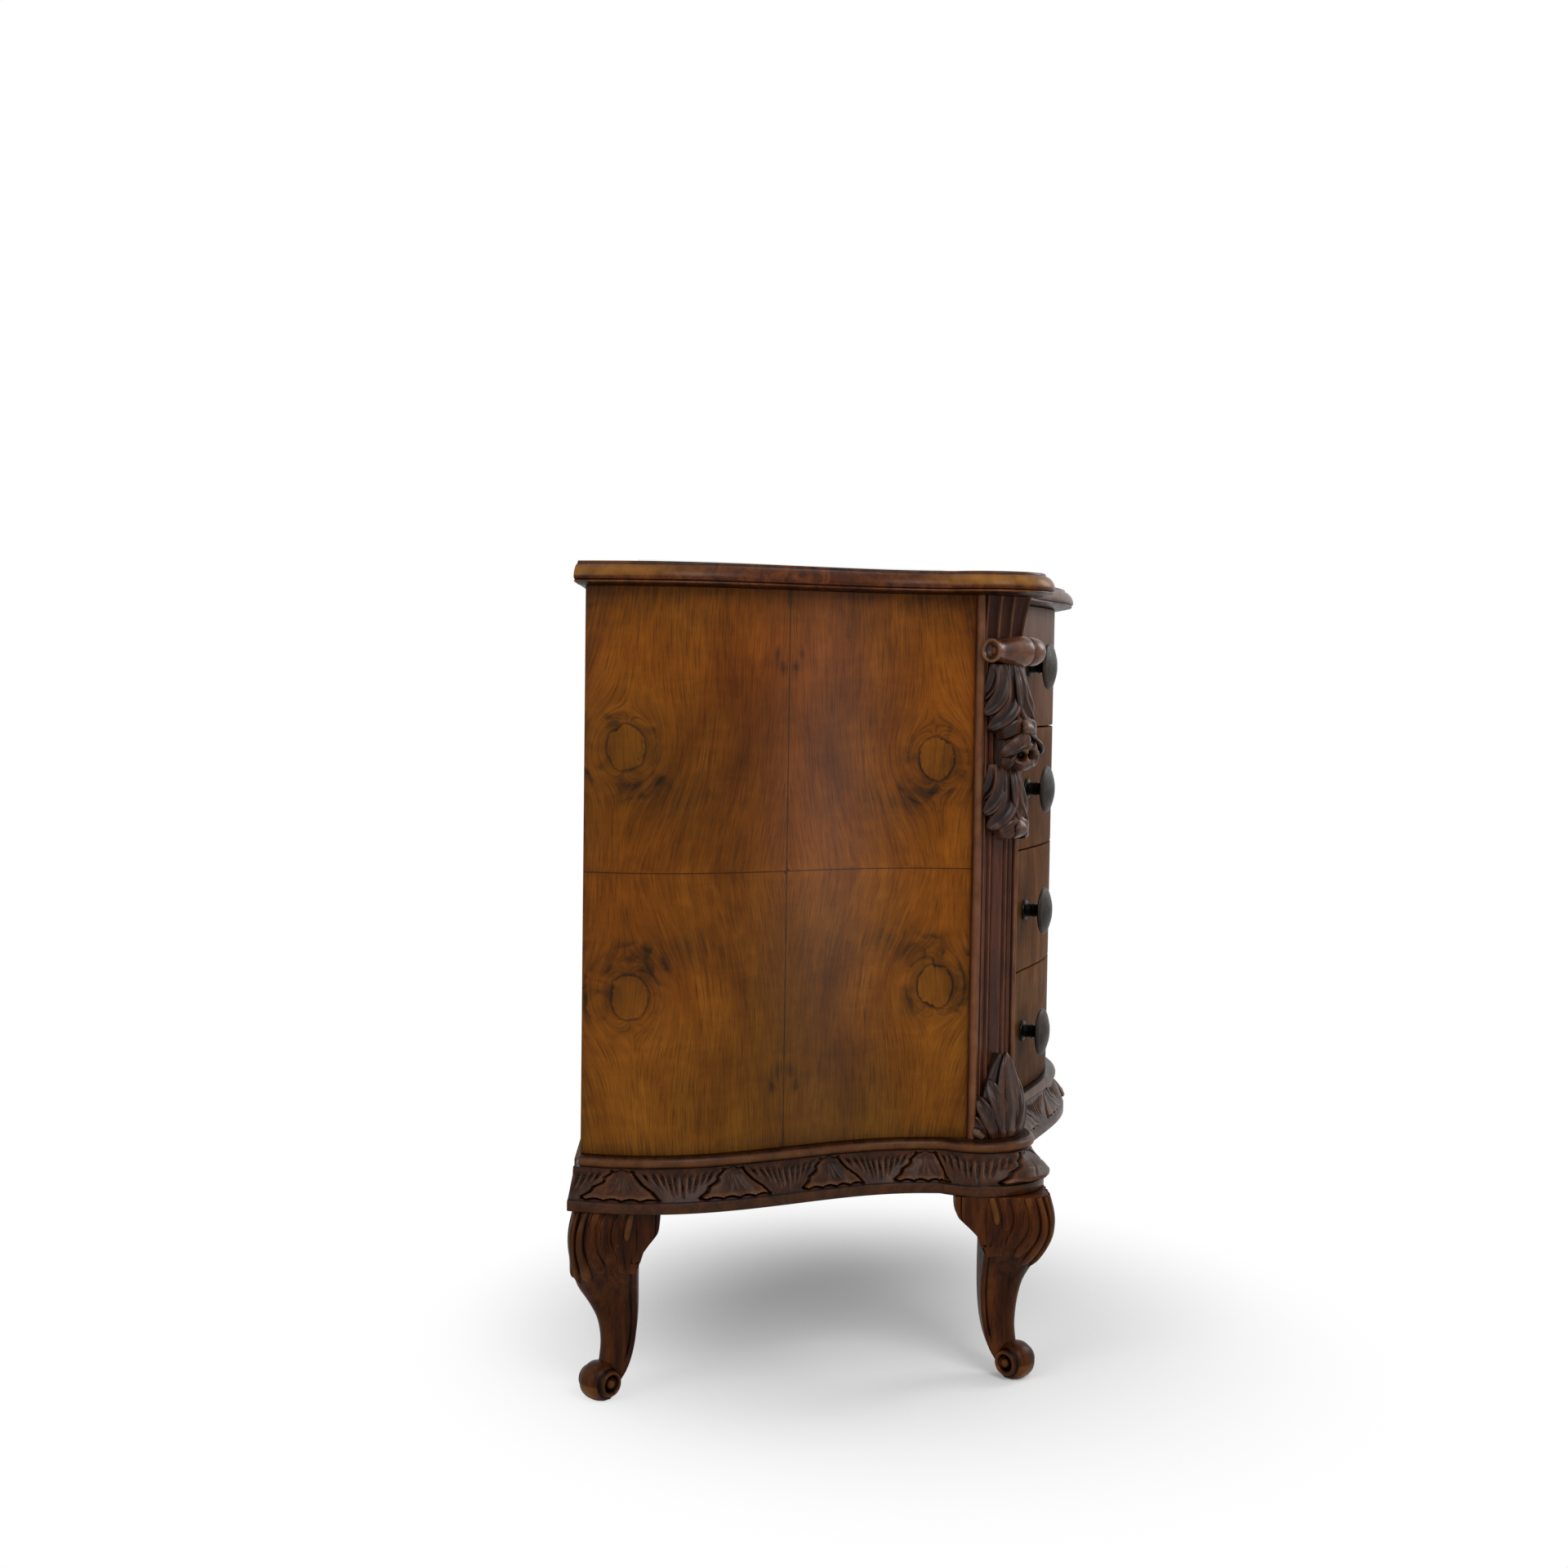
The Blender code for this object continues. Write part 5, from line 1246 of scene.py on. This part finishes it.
def smooth_path(knots, count):
    """A Catmull-Rom curve through the knots, as rows of the same columns."""
    knots = np.asarray(knots, float)
    padded = np.concatenate([[2 * knots[0] - knots[1]], knots, [2 * knots[-1] - knots[-2]]])
    place = np.linspace(0, len(knots) - 1, count)
    start = np.minimum(place.astype(int), len(knots) - 2)
    t = (place - start)[:, None]
    before, here, there, after = (padded[start + shift] for shift in range(4))
    bend = 2 * before - 5 * here + 4 * there - after
    twist = 3 * here - before - 3 * there + after
    return 0.5 * (2 * here + (there - before) * t + bend * t**2 + twist * t**3)


def unit(vectors):
    """Vectors at length one."""
    return vectors / (np.linalg.norm(vectors, axis=-1, keepdims=True) + 1e-12)


def carved_lobe(line, normal, half, thick, hollow):
    """One lobe swept along a line that lies on a body, as a closed grid with its relief.

    Across the lobe its height is a mix of an arch and a trough between two sharp ridges, by the
    share of hollow, with fine veins cut along the trough. Half width falls as an ellipse over the
    last fifth, to a rounded tip.
    """
    along = unit(np.gradient(line, axis=0))
    wide = unit(np.cross(along, normal))
    out = np.cross(wide, along)
    share = np.linspace(0.0, 1.0, len(line))
    past = (share - LOBE_TIP) / (1.0005 - LOBE_TIP)
    tip = np.sqrt(np.clip(1 - np.clip(past, 0, None) ** 2, 0, 1))
    x = np.sin(np.linspace(-math.pi / 2, math.pi / 2, LOBE_SIDES // 2 + 1))
    arch = np.sqrt(np.clip(1 - x**2, 0, 1))
    trough = (0.16 + 0.84 * np.abs(x) ** 1.5) * (1 - np.abs(x) ** 12)
    depth = hollow * np.sin(math.pi * np.clip(share, 0.08, 0.92))[:, None] ** 0.4
    above = (1 - depth) * arch + depth * trough
    above -= 0.16 * (depth > 0.3) * np.cos(2.5 * math.pi * x) ** 2 * arch
    below = np.repeat(-0.8 * arch[None, -2:0:-1], len(line), axis=0)
    level = np.concatenate([above, below], axis=1)
    step = (half * tip)[:, None] * np.concatenate([x, x[-2:0:-1]])
    lift = (thick * (0.25 + 0.75 * tip))[:, None] * level
    points = line[:, None] + step[..., None] * wide[:, None] + lift[..., None] * out[:, None]
    # The lobe's crown is painted paler, as wear and a painted highlight, and its sides and
    # underside darker, as painted shade between the lobes
    relief = np.clip((level - 0.56) * 1.9, -1, 0.75)
    relief[:, len(x) :] = -1.0
    return points, relief


def gather(pieces):
    """Several closed grids, each wrapped round its columns and capped, as one set of faces."""
    points, relief, faces, start = [], [], [], 0
    for grid, level in pieces:
        points.append(grid.reshape(-1, 3))
        relief.append(np.broadcast_to(level, grid.shape[:2]).ravel())
        faces += tube_faces(*grid.shape[:2], start=start)
        start += len(points[-1])
    return np.concatenate(points), np.concatenate(relief), faces


def both_ways(knots):
    """The sides that a lobe is made on: one only, if it lies along the middle."""
    return (-1, 1) if max(abs(knot[0]) for knot in knots) > 0 else (1,)


def carved_leaf(low, high, outline, lobes, flare):
    """A leaf between two heights, from its outline and its lobes, as a list of closed grids.

    The body is half an ellipse at each height, of the outline's half width and rise. Lobes are
    made on both sides, and flare lifts those on the drawers' side further.
    """
    outline = np.array(sorted(outline))

    def body(angle, share, lift=0.0):
        """Places and normals on the ellipse at an angle and a share of height, lifted off it."""
        wide = np.interp(share, outline[:, 0], outline[:, 1]) + lift
        rise = np.interp(share, outline[:, 0], outline[:, 2]) + lift
        turn = np.radians(angle)
        z = low + share * (high - low)
        place = np.stack([wide * np.sin(turn), rise * np.cos(turn), z], axis=-1)
        normal = np.stack([rise * np.sin(turn), wide * np.cos(turn), 0 * turn], axis=-1)
        return place, unit(normal)

    angles = np.linspace(-BODY_HALF_TURN, BODY_HALF_TURN, 41)
    shares = np.linspace(outline[0, 0], outline[-1, 0], 30)
    # The leaf's body under its lobes is painted dark as shade
    made = [(body(*np.meshgrid(angles, shares), -BODY_SUNK)[0], -0.60)]
    for hollow, knots in lobes:
        row = smooth_path(knots, LOBE_STEPS)
        half, thick = np.maximum(row[:, 2], THINNEST), np.maximum(row[:, 3], THINNEST)
        for way in both_ways(knots):
            lift = row[:, 4] * (1.0 if way < 0 else flare)
            line, normal = body(way * row[:, 0], row[:, 1], lift)
            made.append(carved_lobe(line, normal, half, thick, hollow))
    return made


def rosebud(out, up, radius):
    """A ball whose skin is folded into spiral petals, with three drilled eyes across its face.

    The radius swells by a wave of five petals that steepens at each fold and winds with height,
    and falls in smoothly within each eye.
    """
    turn = np.linspace(0.0, math.tau, 110, endpoint=False)
    rise = np.linspace(-math.pi / 2 + 0.02, math.pi / 2 - 0.02, 74)[:, None]
    level, girth = np.sin(rise), np.cos(rise)
    way = np.stack([girth * np.cos(turn), girth * np.sin(turn), level + 0 * turn], axis=-1)
    phase = (turn[None, :] * 5 / math.tau + 1.1 * level + 0.3) % 1.0
    fold = phase**2 * (1 - smooth_step((phase - 0.88) / 0.12)) * smooth_step((level + 0.15) / 0.4)
    reach = radius * (0.93 + 0.13 * fold)
    # Each fold's crown is painted paler, as wear and a painted highlight, and the fold lines
    # darker as painted shade
    relief = 0.15 + 0.9 * fold - 0.9 * np.exp(-((phase / 0.10) ** 2)) * (level > 0.1)
    for eye in BUD_EYES:
        apart = np.arccos(np.clip(way @ unit(np.array(eye)), -1, 1))
        hole = 1 - smooth_step((apart - 0.20) / 0.12)
        rim = np.exp(-(((apart - 0.41) / 0.08) ** 2))
        reach = reach * (1 - 0.55 * hole) + radius * 0.07 * rim
        # The eyes are painted dark as the shade in them, their rims paler as a painted highlight
        relief = relief * (1 - hole) - 1.3 * hole + 0.35 * rim
    return np.array([0.0, out, up]) + reach[..., None] * way, np.clip(relief, -1, 0.8)


def folded_petals(up):
    """The petals round a bud: lobes swept over its ball, from its middle's height."""
    made = []
    for hollow, knots in bud_petals:
        row = smooth_path(knots, PETAL_STEPS)
        shrink = np.sqrt(np.clip(1 - (row[:, 1] / PETAL_SPAN) ** 2, 0.1, 1))
        reach = (BUD_RADIUS * PETAL_SEAT + row[:, 4]) * shrink
        for way in both_ways(knots):
            turn = np.radians(way * row[:, 0])
            x, y = reach * np.sin(turn), BUD_OUT + reach * np.cos(turn)
            line = np.stack([x, y, up + row[:, 1]], axis=-1)
            normal = np.stack([np.sin(turn), np.cos(turn), row[:, 1] / BUD_RADIUS], axis=-1)
            made.append(carved_lobe(line, normal, row[:, 2], row[:, 3], hollow))
    return made


upper_low, upper_high = (TOP_LOW - below for below in UPPER_LEAF)
lower_low, lower_high = (TOP_LOW - below for below in LOWER_LEAF)
foot_low, foot_high = heights("post_foot_leaf_left")
bud_up = TOP_LOW - BUD_BELOW
lower_outline = [
    (share, LOWER_SCALE[0] * wide, LOWER_SCALE[1] * rise) for share, wide, rise in hanging_outline
]
drop_carving = gather(
    [
        *carved_leaf(upper_low, upper_high, hanging_outline, hanging_lobes, UPPER_FLARE),
        *carved_leaf(lower_low, lower_high, lower_outline, hanging_lobes, LOWER_FLARE),
        rosebud(BUD_OUT, bud_up, BUD_RADIUS),
        *folded_petals(bud_up),
    ]
)
foot_carving = carved_leaf(foot_low, foot_high, standing_outline, standing_lobes, FOOT_FLARE)
foot_carving = gather(foot_carving)
for side, label in ((-1, "left"), (1, "right")):
    for piece, lowest, (points, relief, faces) in (
        ("post_drop", 0.0, drop_carving), ("post_foot_leaf", foot_low, foot_carving)
    ):
        out, up = np.maximum(points[:, 1], -SUNK_IN_POST), np.maximum(points[:, 2], lowest)
        name = f"{piece}_carved_{label}"
        place = on_post(side, points[:, 0], out, up)
        carving = add_surface(name, place, faces, {"relief": relief}, smooth_angle=62.0)
        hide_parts(f"{piece}_{label}")
        dress(carving, leaf_walnut)


# Legs. Cabriole legs sawn from square walnut, set on the corners' diagonals. The knee carries a
# carved leaf folded over its outer corner, a cut line follows the inner edges, a shaped ear is
# glued on each side under the plinth, and the foot rolls up into a scroll with an eye.
LEG_KNEE, LEG_GAP, LEG_ARRIS, LEG_ROWS = 0.077, 0.0003, 0.0045, 120
ANKLE_RADIUS, KNEE_RADIUS_MORE, KNEE_FROM, KNEE_RISE = 0.011, 0.012, 0.091, 0.07
CUT_LINE, CUT_HALF, LEG_CUT = 0.0058, 0.0012, 0.0017
LOBE_SUNK, EAR_ROOT, EAR_REACH, FRONT_SIDE_EAR = 0.0010, 0.018, 0.0250, 0.0330
SCROLL_PLACE, SCROLL_HEIGHT, SCROLL_HALF, SCROLL_SIDES = 0.0385, 0.0188, 0.0175, 56
# The back legs are this much slimmer at the top and fuller at the calf, below and round a height
BACK_SLIMMER, SLIMMER_FROM, SLIMMER_RISE = 0.0045, 0.101, 0.05
BACK_FULLER, FULLER_HEIGHT, FULLER_REACH, FULLER_PLACE = 0.0110, 0.117, 0.027, 0.05
# Height, then the inner and the outer line of the leg, from its inner corner at the ankle
leg_lines = np.array(
    [
        (0.000, 0.0268, 0.0440), (0.010, 0.0215, 0.0450), (0.020, 0.0160, 0.0430),
        (0.029, 0.0108, 0.0420), (0.041, 0.0062, 0.0400), (0.056, 0.0028, 0.0388),
        (0.073, 0.0007, 0.0396), (0.090, -0.0003, 0.0418), (0.107, -0.0006, 0.0460),
        (0.125, -0.0006, 0.0548), (0.137, -0.0005, 0.0622), (0.149, -0.0004, 0.0680),
        (0.161, -0.0002, 0.0720), (0.173, 0.0000, 0.0735), (0.186, 0.0000, 0.0727),
        (0.205, 0.0000, 0.0690),
    ]
)
# A glued ear's lower edge, as a share of its reach and a height, and its rows across the leg:
# depth, size as a share, and how each is painted: paler above 0, as wear and a painted highlight,
# and darker below 0, as painted shade in the cut line
ear_edge = [
    (-0.20, 0.159), (-0.48, 0.169), (-0.74, 0.177), (-0.91, 0.183), (-0.98, 0.192),
]
ear_rows = [
    (0.044, 1.0, -0.2), (0.0664, 1.0, 0.1), (0.0678, 0.985, 0.35), (0.0684, 0.95, 0.3),
    (0.0684, 0.68, 0.0), (0.0670, 0.65, -0.95), (0.0670, 0.62, -0.95), (0.0688, 0.58, 0.0),
]
# One end of the foot's scroll: distance past the barrel's half length, radius, and how it is
# painted: paler above 0, as wear and a painted highlight, darker below 0, as painted shade in the
# eye, the cup and the quirk
scroll_end = np.array(
    [
        (0.0020, 0.0004, 0.9), (0.0018, 0.0028, 0.8), (0.0004, 0.0046, 0.3),
        (-0.0030, 0.0050, -0.9), (-0.0062, 0.0054, -1.0), (-0.0064, 0.0080, -1.0),
        (-0.0026, 0.0090, -0.9), (0.0012, 0.0095, 0.2), (0.0024, 0.0108, 0.6),
        (0.0018, 0.0126, 0.5), (-0.0002, 0.0137, 0.0), (-0.0026, 0.0138, -1.0),
        (-0.0034, 0.0147, -0.9), (-0.0044, 0.0168, -0.1), (-0.0072, 0.0190, 0.1),
        (-0.0112, 0.0202, 0.2), (-0.0165, 0.0206, 0.2),
    ]
)
# Lobes of the knee's leaf: share of hollow, then knots of the distance round from the corner, the
# height, half width and thickness
knee_lobes = [
    (0.00, [
        (0.0585, 0.204, 0.0042, 0.0032), (0.0580, 0.194, 0.0047, 0.0036),
        (0.0574, 0.184, 0.0047, 0.0036), (0.0574, 0.176, 0.0042, 0.0032),
    ]),
    (0.50, [
        (0.0480, 0.204, 0.0047, 0.0042), (0.0462, 0.193, 0.0055, 0.0053),
        (0.0462, 0.181, 0.0059, 0.0055), (0.0476, 0.169, 0.0054, 0.0046),
    ]),
    (0.65, [
        (0.0345, 0.204, 0.0054, 0.0048), (0.0325, 0.189, 0.0067, 0.0061),
        (0.0332, 0.173, 0.0076, 0.0065), (0.0375, 0.159, 0.0074, 0.0057),
        (0.0400, 0.149, 0.0059, 0.0042),
    ]),
    (0.45, [
        (0.0205, 0.204, 0.0042, 0.0044), (0.0180, 0.186, 0.0052, 0.0059),
        (0.0187, 0.167, 0.0057, 0.0061), (0.0238, 0.149, 0.0059, 0.0053),
        (0.0264, 0.138, 0.0049, 0.0038),
    ]),
    (0.25, [
        (0.0085, 0.204, 0.0037, 0.0046), (0.0064, 0.184, 0.0045, 0.0063),
        (0.0064, 0.163, 0.0050, 0.0065), (0.0098, 0.141, 0.0052, 0.0050),
        (0.0122, 0.128, 0.0044, 0.0034),
    ]),
    (0.00, [
        (0.0, 0.204, 0.0013, 0.0053), (0.0, 0.182, 0.0015, 0.0074),
        (0.0, 0.161, 0.0017, 0.0076), (0.0, 0.139, 0.0024, 0.0057),
        (0.0, 0.123, 0.0020, 0.0027),
    ]),
]
leg_tones = (paint(22, 10, 5), paint(60, 31, 13), paint(84, 47, 21), paint(122, 80, 40))
leg_walnut = varnished_walnut(
    "leg_walnut", leg_tones, (55.0, 55.0, 7.0), gloss=0.28, wear_and_highlight=0.6, shine=0.08
)
leg_height = plinth_low - LEG_GAP
leg_rows = np.linspace(leg_lines[0, 0], leg_height, LEG_ROWS)
fine_lines = smooth_path(leg_lines, 400)


def leg_line(height, column):
    """The inner or outer line at a height, from a smooth curve through the measured places."""
    return np.interp(height, fine_lines[:, 0], fine_lines[:, column])


def knee_radius(height):
    """The outer corner's rounding: larger on the knee than at the ankle."""
    return ANKLE_RADIUS + KNEE_RADIUS_MORE * smooth_step((height - KNEE_FROM) / KNEE_RISE)


def on_leg(around, height):
    """Places and normals on the outer faces, by the distance round from the outer corner.

    It counts from the corner's middle, positive along the face to the side and negative along
    the face to the front: an arc first, then straight.
    """
    around, height = np.broadcast_arrays(np.asarray(around, float), np.asarray(height, float))
    far, radius = leg_line(height, 2), knee_radius(height)
    quarter = radius * math.pi / 4
    angle = math.pi / 4 * (1 - np.clip(np.abs(around) / quarter, 0, 1))
    straight = np.maximum(np.abs(around) - quarter, 0)
    along = far - radius + radius * np.sin(angle) - straight
    out = far - radius + radius * np.cos(angle)
    levels = np.linspace(0.0, 0.22, 221)
    lean = -np.interp(height, levels, np.gradient(leg_line(levels, 2), levels))
    swap = around < 0
    place = np.stack([np.where(swap, along, out), np.where(swap, out, along), height], axis=-1)
    nx = np.where(swap, np.sin(angle), np.cos(angle))
    ny = np.where(swap, np.cos(angle), np.sin(angle))
    return place, unit(np.stack([nx, ny, lean * (nx + ny) * DIAGONAL], axis=-1))


def leg_shaft():
    """Rings of four rounded corners and four sides, with the cut line along the inner edges."""
    quarter = np.linspace(0.0, math.pi / 2, 11)
    side_share = np.linspace(0.0, 1.0, 30)[None, 1:-1, None]
    low, high = leg_line(leg_rows, 1)[:, None], leg_line(leg_rows, 2)[:, None]
    height = leg_rows[:, None]
    corners = []
    for number in range(4):
        radius = knee_radius(height) if number == 0 else np.full_like(height, LEG_ARRIS)
        hub_x = high - radius if number in (0, 3) else low + radius
        hub_y = high - radius if number in (0, 1) else low + radius
        angle = quarter + number * math.pi / 2
        corner = [hub_x + radius * np.cos(angle), hub_y + radius * np.sin(angle)]
        corners.append(np.stack(corner, axis=-1))
    ring = []
    for number in range(4):
        start, end = corners[number][:, -1:], corners[(number + 1) % 4][:, :1]
        ring += [corners[number], start + side_share * (end - start)]
    ring = np.concatenate(ring, axis=1)
    level = np.broadcast_to(height[..., None], (*ring.shape[:2], 1))
    points = np.concatenate([ring, level], axis=-1)
    keep = smooth_step((height - 0.030) / 0.02) * smooth_step((0.163 - height) / 0.012)
    relief = np.zeros(points.shape[:2])
    for face, other in ((0, 1), (1, 0)):
        on_face = np.abs(points[..., face] - high) < 0.0003
        cut = np.exp(-(((points[..., other] - low - CUT_LINE) / CUT_HALF) ** 2)) * on_face * keep
        points[..., face] -= LEG_CUT * cut
        # The cut line is painted dark as the shade in it
        relief -= 0.95 * cut
    corner_gap = np.hypot(points[..., 0] - high, points[..., 1] - high)
    # The outer corner low on the leg is painted paler, as wear and a painted highlight
    relief += 0.30 * np.exp(-((corner_gap / 0.014) ** 2)) * smooth_step((0.111 - height) / 0.02)
    return points, relief


def leg_ear(turned, reach):
    """A glued ear: its profile hangs under the plinth beside the knee, with a line cut round it.

    Its rows shrink towards the profile's middle, and the top edge stays against the plinth.
    """
    edge = [(share * reach, height) for share, height in ear_edge]
    edge = [(0.002, 0.139), (-0.0012, 0.149), *edge, (-reach, leg_height)]
    root = [(EAR_ROOT, leg_height), (EAR_ROOT, 0.141)]
    profile = np.concatenate([smooth_path(edge, 40), root])
    middle = profile.mean(axis=0)
    rows = []
    for depth, size, _ in ear_rows:
        spot = middle + (profile - middle) * size
        z = np.where(profile[:, 1] >= leg_height - 1e-6, leg_height, spot[:, 1])
        flat = np.full(len(spot), depth)
        rows.append(np.stack([flat, spot[:, 0], z] if turned else [spot[:, 0], flat, z], axis=-1))
    return np.stack(rows), np.array(ear_rows)[:, 2:]


def leg_scroll():
    """The foot's scroll: a barrel across the diagonal whose ends are hollow rings with an eye.

    Along the barrel's axis the radius follows an eye, a cup, a ring, a quirk and a full swell. It
    stands on a flat, and its outermost side is painted pale, as rubbed wear and a painted
    highlight.
    """
    far_end = scroll_end[-2::-1] * (-1, 1, 1) - (SCROLL_HALF, 0, 0)
    axis, radius, marks = np.concatenate([scroll_end + (SCROLL_HALF, 0, 0), far_end]).T[..., None]
    turn = np.linspace(0.0, math.tau, SCROLL_SIDES, endpoint=False)
    away = SCROLL_PLACE + radius * np.cos(turn) * DIAGONAL
    z = np.maximum(SCROLL_HEIGHT + radius * np.sin(turn), 0.0)
    # The outermost side, painted pale as rubbed wear and a painted highlight
    rubbed_and_highlit = np.exp(-(((turn - 5.9) / 0.60) ** 2)) * (radius > 0.016)
    points = np.stack([away + axis * DIAGONAL, away - axis * DIAGONAL, z], axis=-1)
    return points, np.clip(marks + 1.2 * rubbed_and_highlit, -1, 1)


for end, forward, ear_reach in (("front", 1, FRONT_SIDE_EAR), ("back", -1, EAR_REACH)):
    pieces = [leg_shaft(), leg_ear(False, EAR_REACH), leg_ear(True, ear_reach), leg_scroll()]
    for hollow, knots in knee_lobes:
        row = smooth_path(knots, LOBE_STEPS)
        for way in both_ways(knots):
            place, normal = on_leg(way * row[:, 0], row[:, 1])
            line = place - normal * LOBE_SUNK
            pieces.append(carved_lobe(line, normal, row[:, 2], row[:, 3], hollow))
    points, relief, faces = gather(pieces)
    points[:, 2] = np.minimum(points[:, 2], leg_height)
    if end == "back":
        slimmer = BACK_SLIMMER * smooth_step((points[:, 2] - SLIMMER_FROM) / SLIMMER_RISE)
        points[:, 1] -= slimmer * points[:, 1] / LEG_KNEE - BACK_SLIMMER
        fuller = BACK_FULLER * np.exp(-(((points[:, 2] - FULLER_HEIGHT) / FULLER_REACH) ** 2))
        points[:, 1] += fuller * points[:, 1] / FULLER_PLACE
    for side, label in ((-1, "left"), (1, "right")):
        low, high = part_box(f"leg_{end}_{label}")
        outer_x = max(abs(low[0]), abs(high[0]))
        outer_u = CENTRE_Y - (low[1] if forward > 0 else high[1])
        x = side * (outer_x - LEG_KNEE + points[:, 0])
        u = outer_u + forward * (points[:, 1] - LEG_KNEE)
        place = in_world(x, u, points[:, 2])
        name = f"leg_{end}_carved_{label}"
        leg = add_surface(name, place, faces, {"relief": relief}, smooth_angle=50.0)
        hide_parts(f"leg_{end}_{label}")
        dress(leg, leg_walnut)


# Hidden carcass. Shelves, stiles, the frame under the top, the back and the bottom are sawn oak
# stained brown, glued and dowelled. The drawer boxes are paler oak, and the bottom's edge, which
# shows as a ledge under the posts, is painted as dark as the mouldings, as dirt and painted
# shade.
def sawn_oak(name, tones, stretch, rough):
    """Plain sawn oak: long grain noise for the growth lines, short dark pores, a broad tint."""
    dark, middle, light = tones
    material, tree, shader, place = new_finish(name)
    grain = add_node(tree, "ShaderNodeMapping", {"Vector": place, "Scale": stretch}).outputs[0]
    lines = noise(tree, grain, 1.0, 6.0, 0.6, 0.4)
    pores = noise(tree, stretched(tree, grain, (6.0, 6.0, 6.0)), 1.0, 2.0)
    broad = noise(tree, place, 5.0, 2.0)
    wood = colour_steps(tree, lines, [(0.32, dark), (0.50, middle), (0.70, light)])
    wood = mix_colours(tree, 1.0, wood, spread(tree, broad, 0.3, 0.7, 0.84, 1.12), "MULTIPLY")
    wood = mix_colours(tree, 1.0, wood, spread(tree, pores, 0.34, 0.46, 0.70, 1.0), "MULTIPLY")
    tree.links.new(wood, shader.inputs["Base Color"])
    shader.inputs["Roughness"].default_value = rough
    shader.inputs["Specular IOR Level"].default_value = 0.25
    roughen(tree, shader, lines, 0.12, 0.0008)
    return material


carcass_tones = (paint(54, 36, 21), paint(84, 57, 34), paint(106, 76, 47))
box_tones = (paint(112, 84, 55), paint(146, 114, 78), paint(170, 138, 98))
# Dark tones for the ledge: dirt and painted shade
ledge_shaded_tones = (paint(28, 16, 11), paint(46, 28, 18), paint(60, 38, 25))
carcass_across = sawn_oak("carcass_oak_across", carcass_tones, (5.0, 130.0, 130.0), 0.62)
carcass_upright = sawn_oak("carcass_oak_upright", carcass_tones, (130.0, 130.0, 5.0), 0.62)
box_along = sawn_oak("drawer_oak_along", box_tones, (85.0, 8.0, 85.0), 0.55)
box_across = sawn_oak("drawer_oak_across", box_tones, (8.0, 85.0, 85.0), 0.55)
ledge_shaded_oak = sawn_oak("ledge_shaded_oak", ledge_shaded_tones, (10.0, 80.0, 80.0), 0.50)
plain_woods = {"bottom_board": ledge_shaded_oak, "back_panel": carcass_upright}
for label in ("top_frame", "plinth_back", "shelf_1", "shelf_2", "shelf_3"):
    plain_woods[label] = carcass_across
for label in ("left", "right"):
    plain_woods["back_stile_" + label] = carcass_upright
for number in range(1, 5):
    for label in ("side_left", "side_right"):
        plain_woods[f"drawer_{number}_{label}"] = box_along
    for label in ("back", "bottom"):
        plain_woods[f"drawer_{number}_{label}"] = box_across
for label, wood in plain_woods.items():
    for holder in frame["nodes"][label].material_slots:
        holder.material = wood
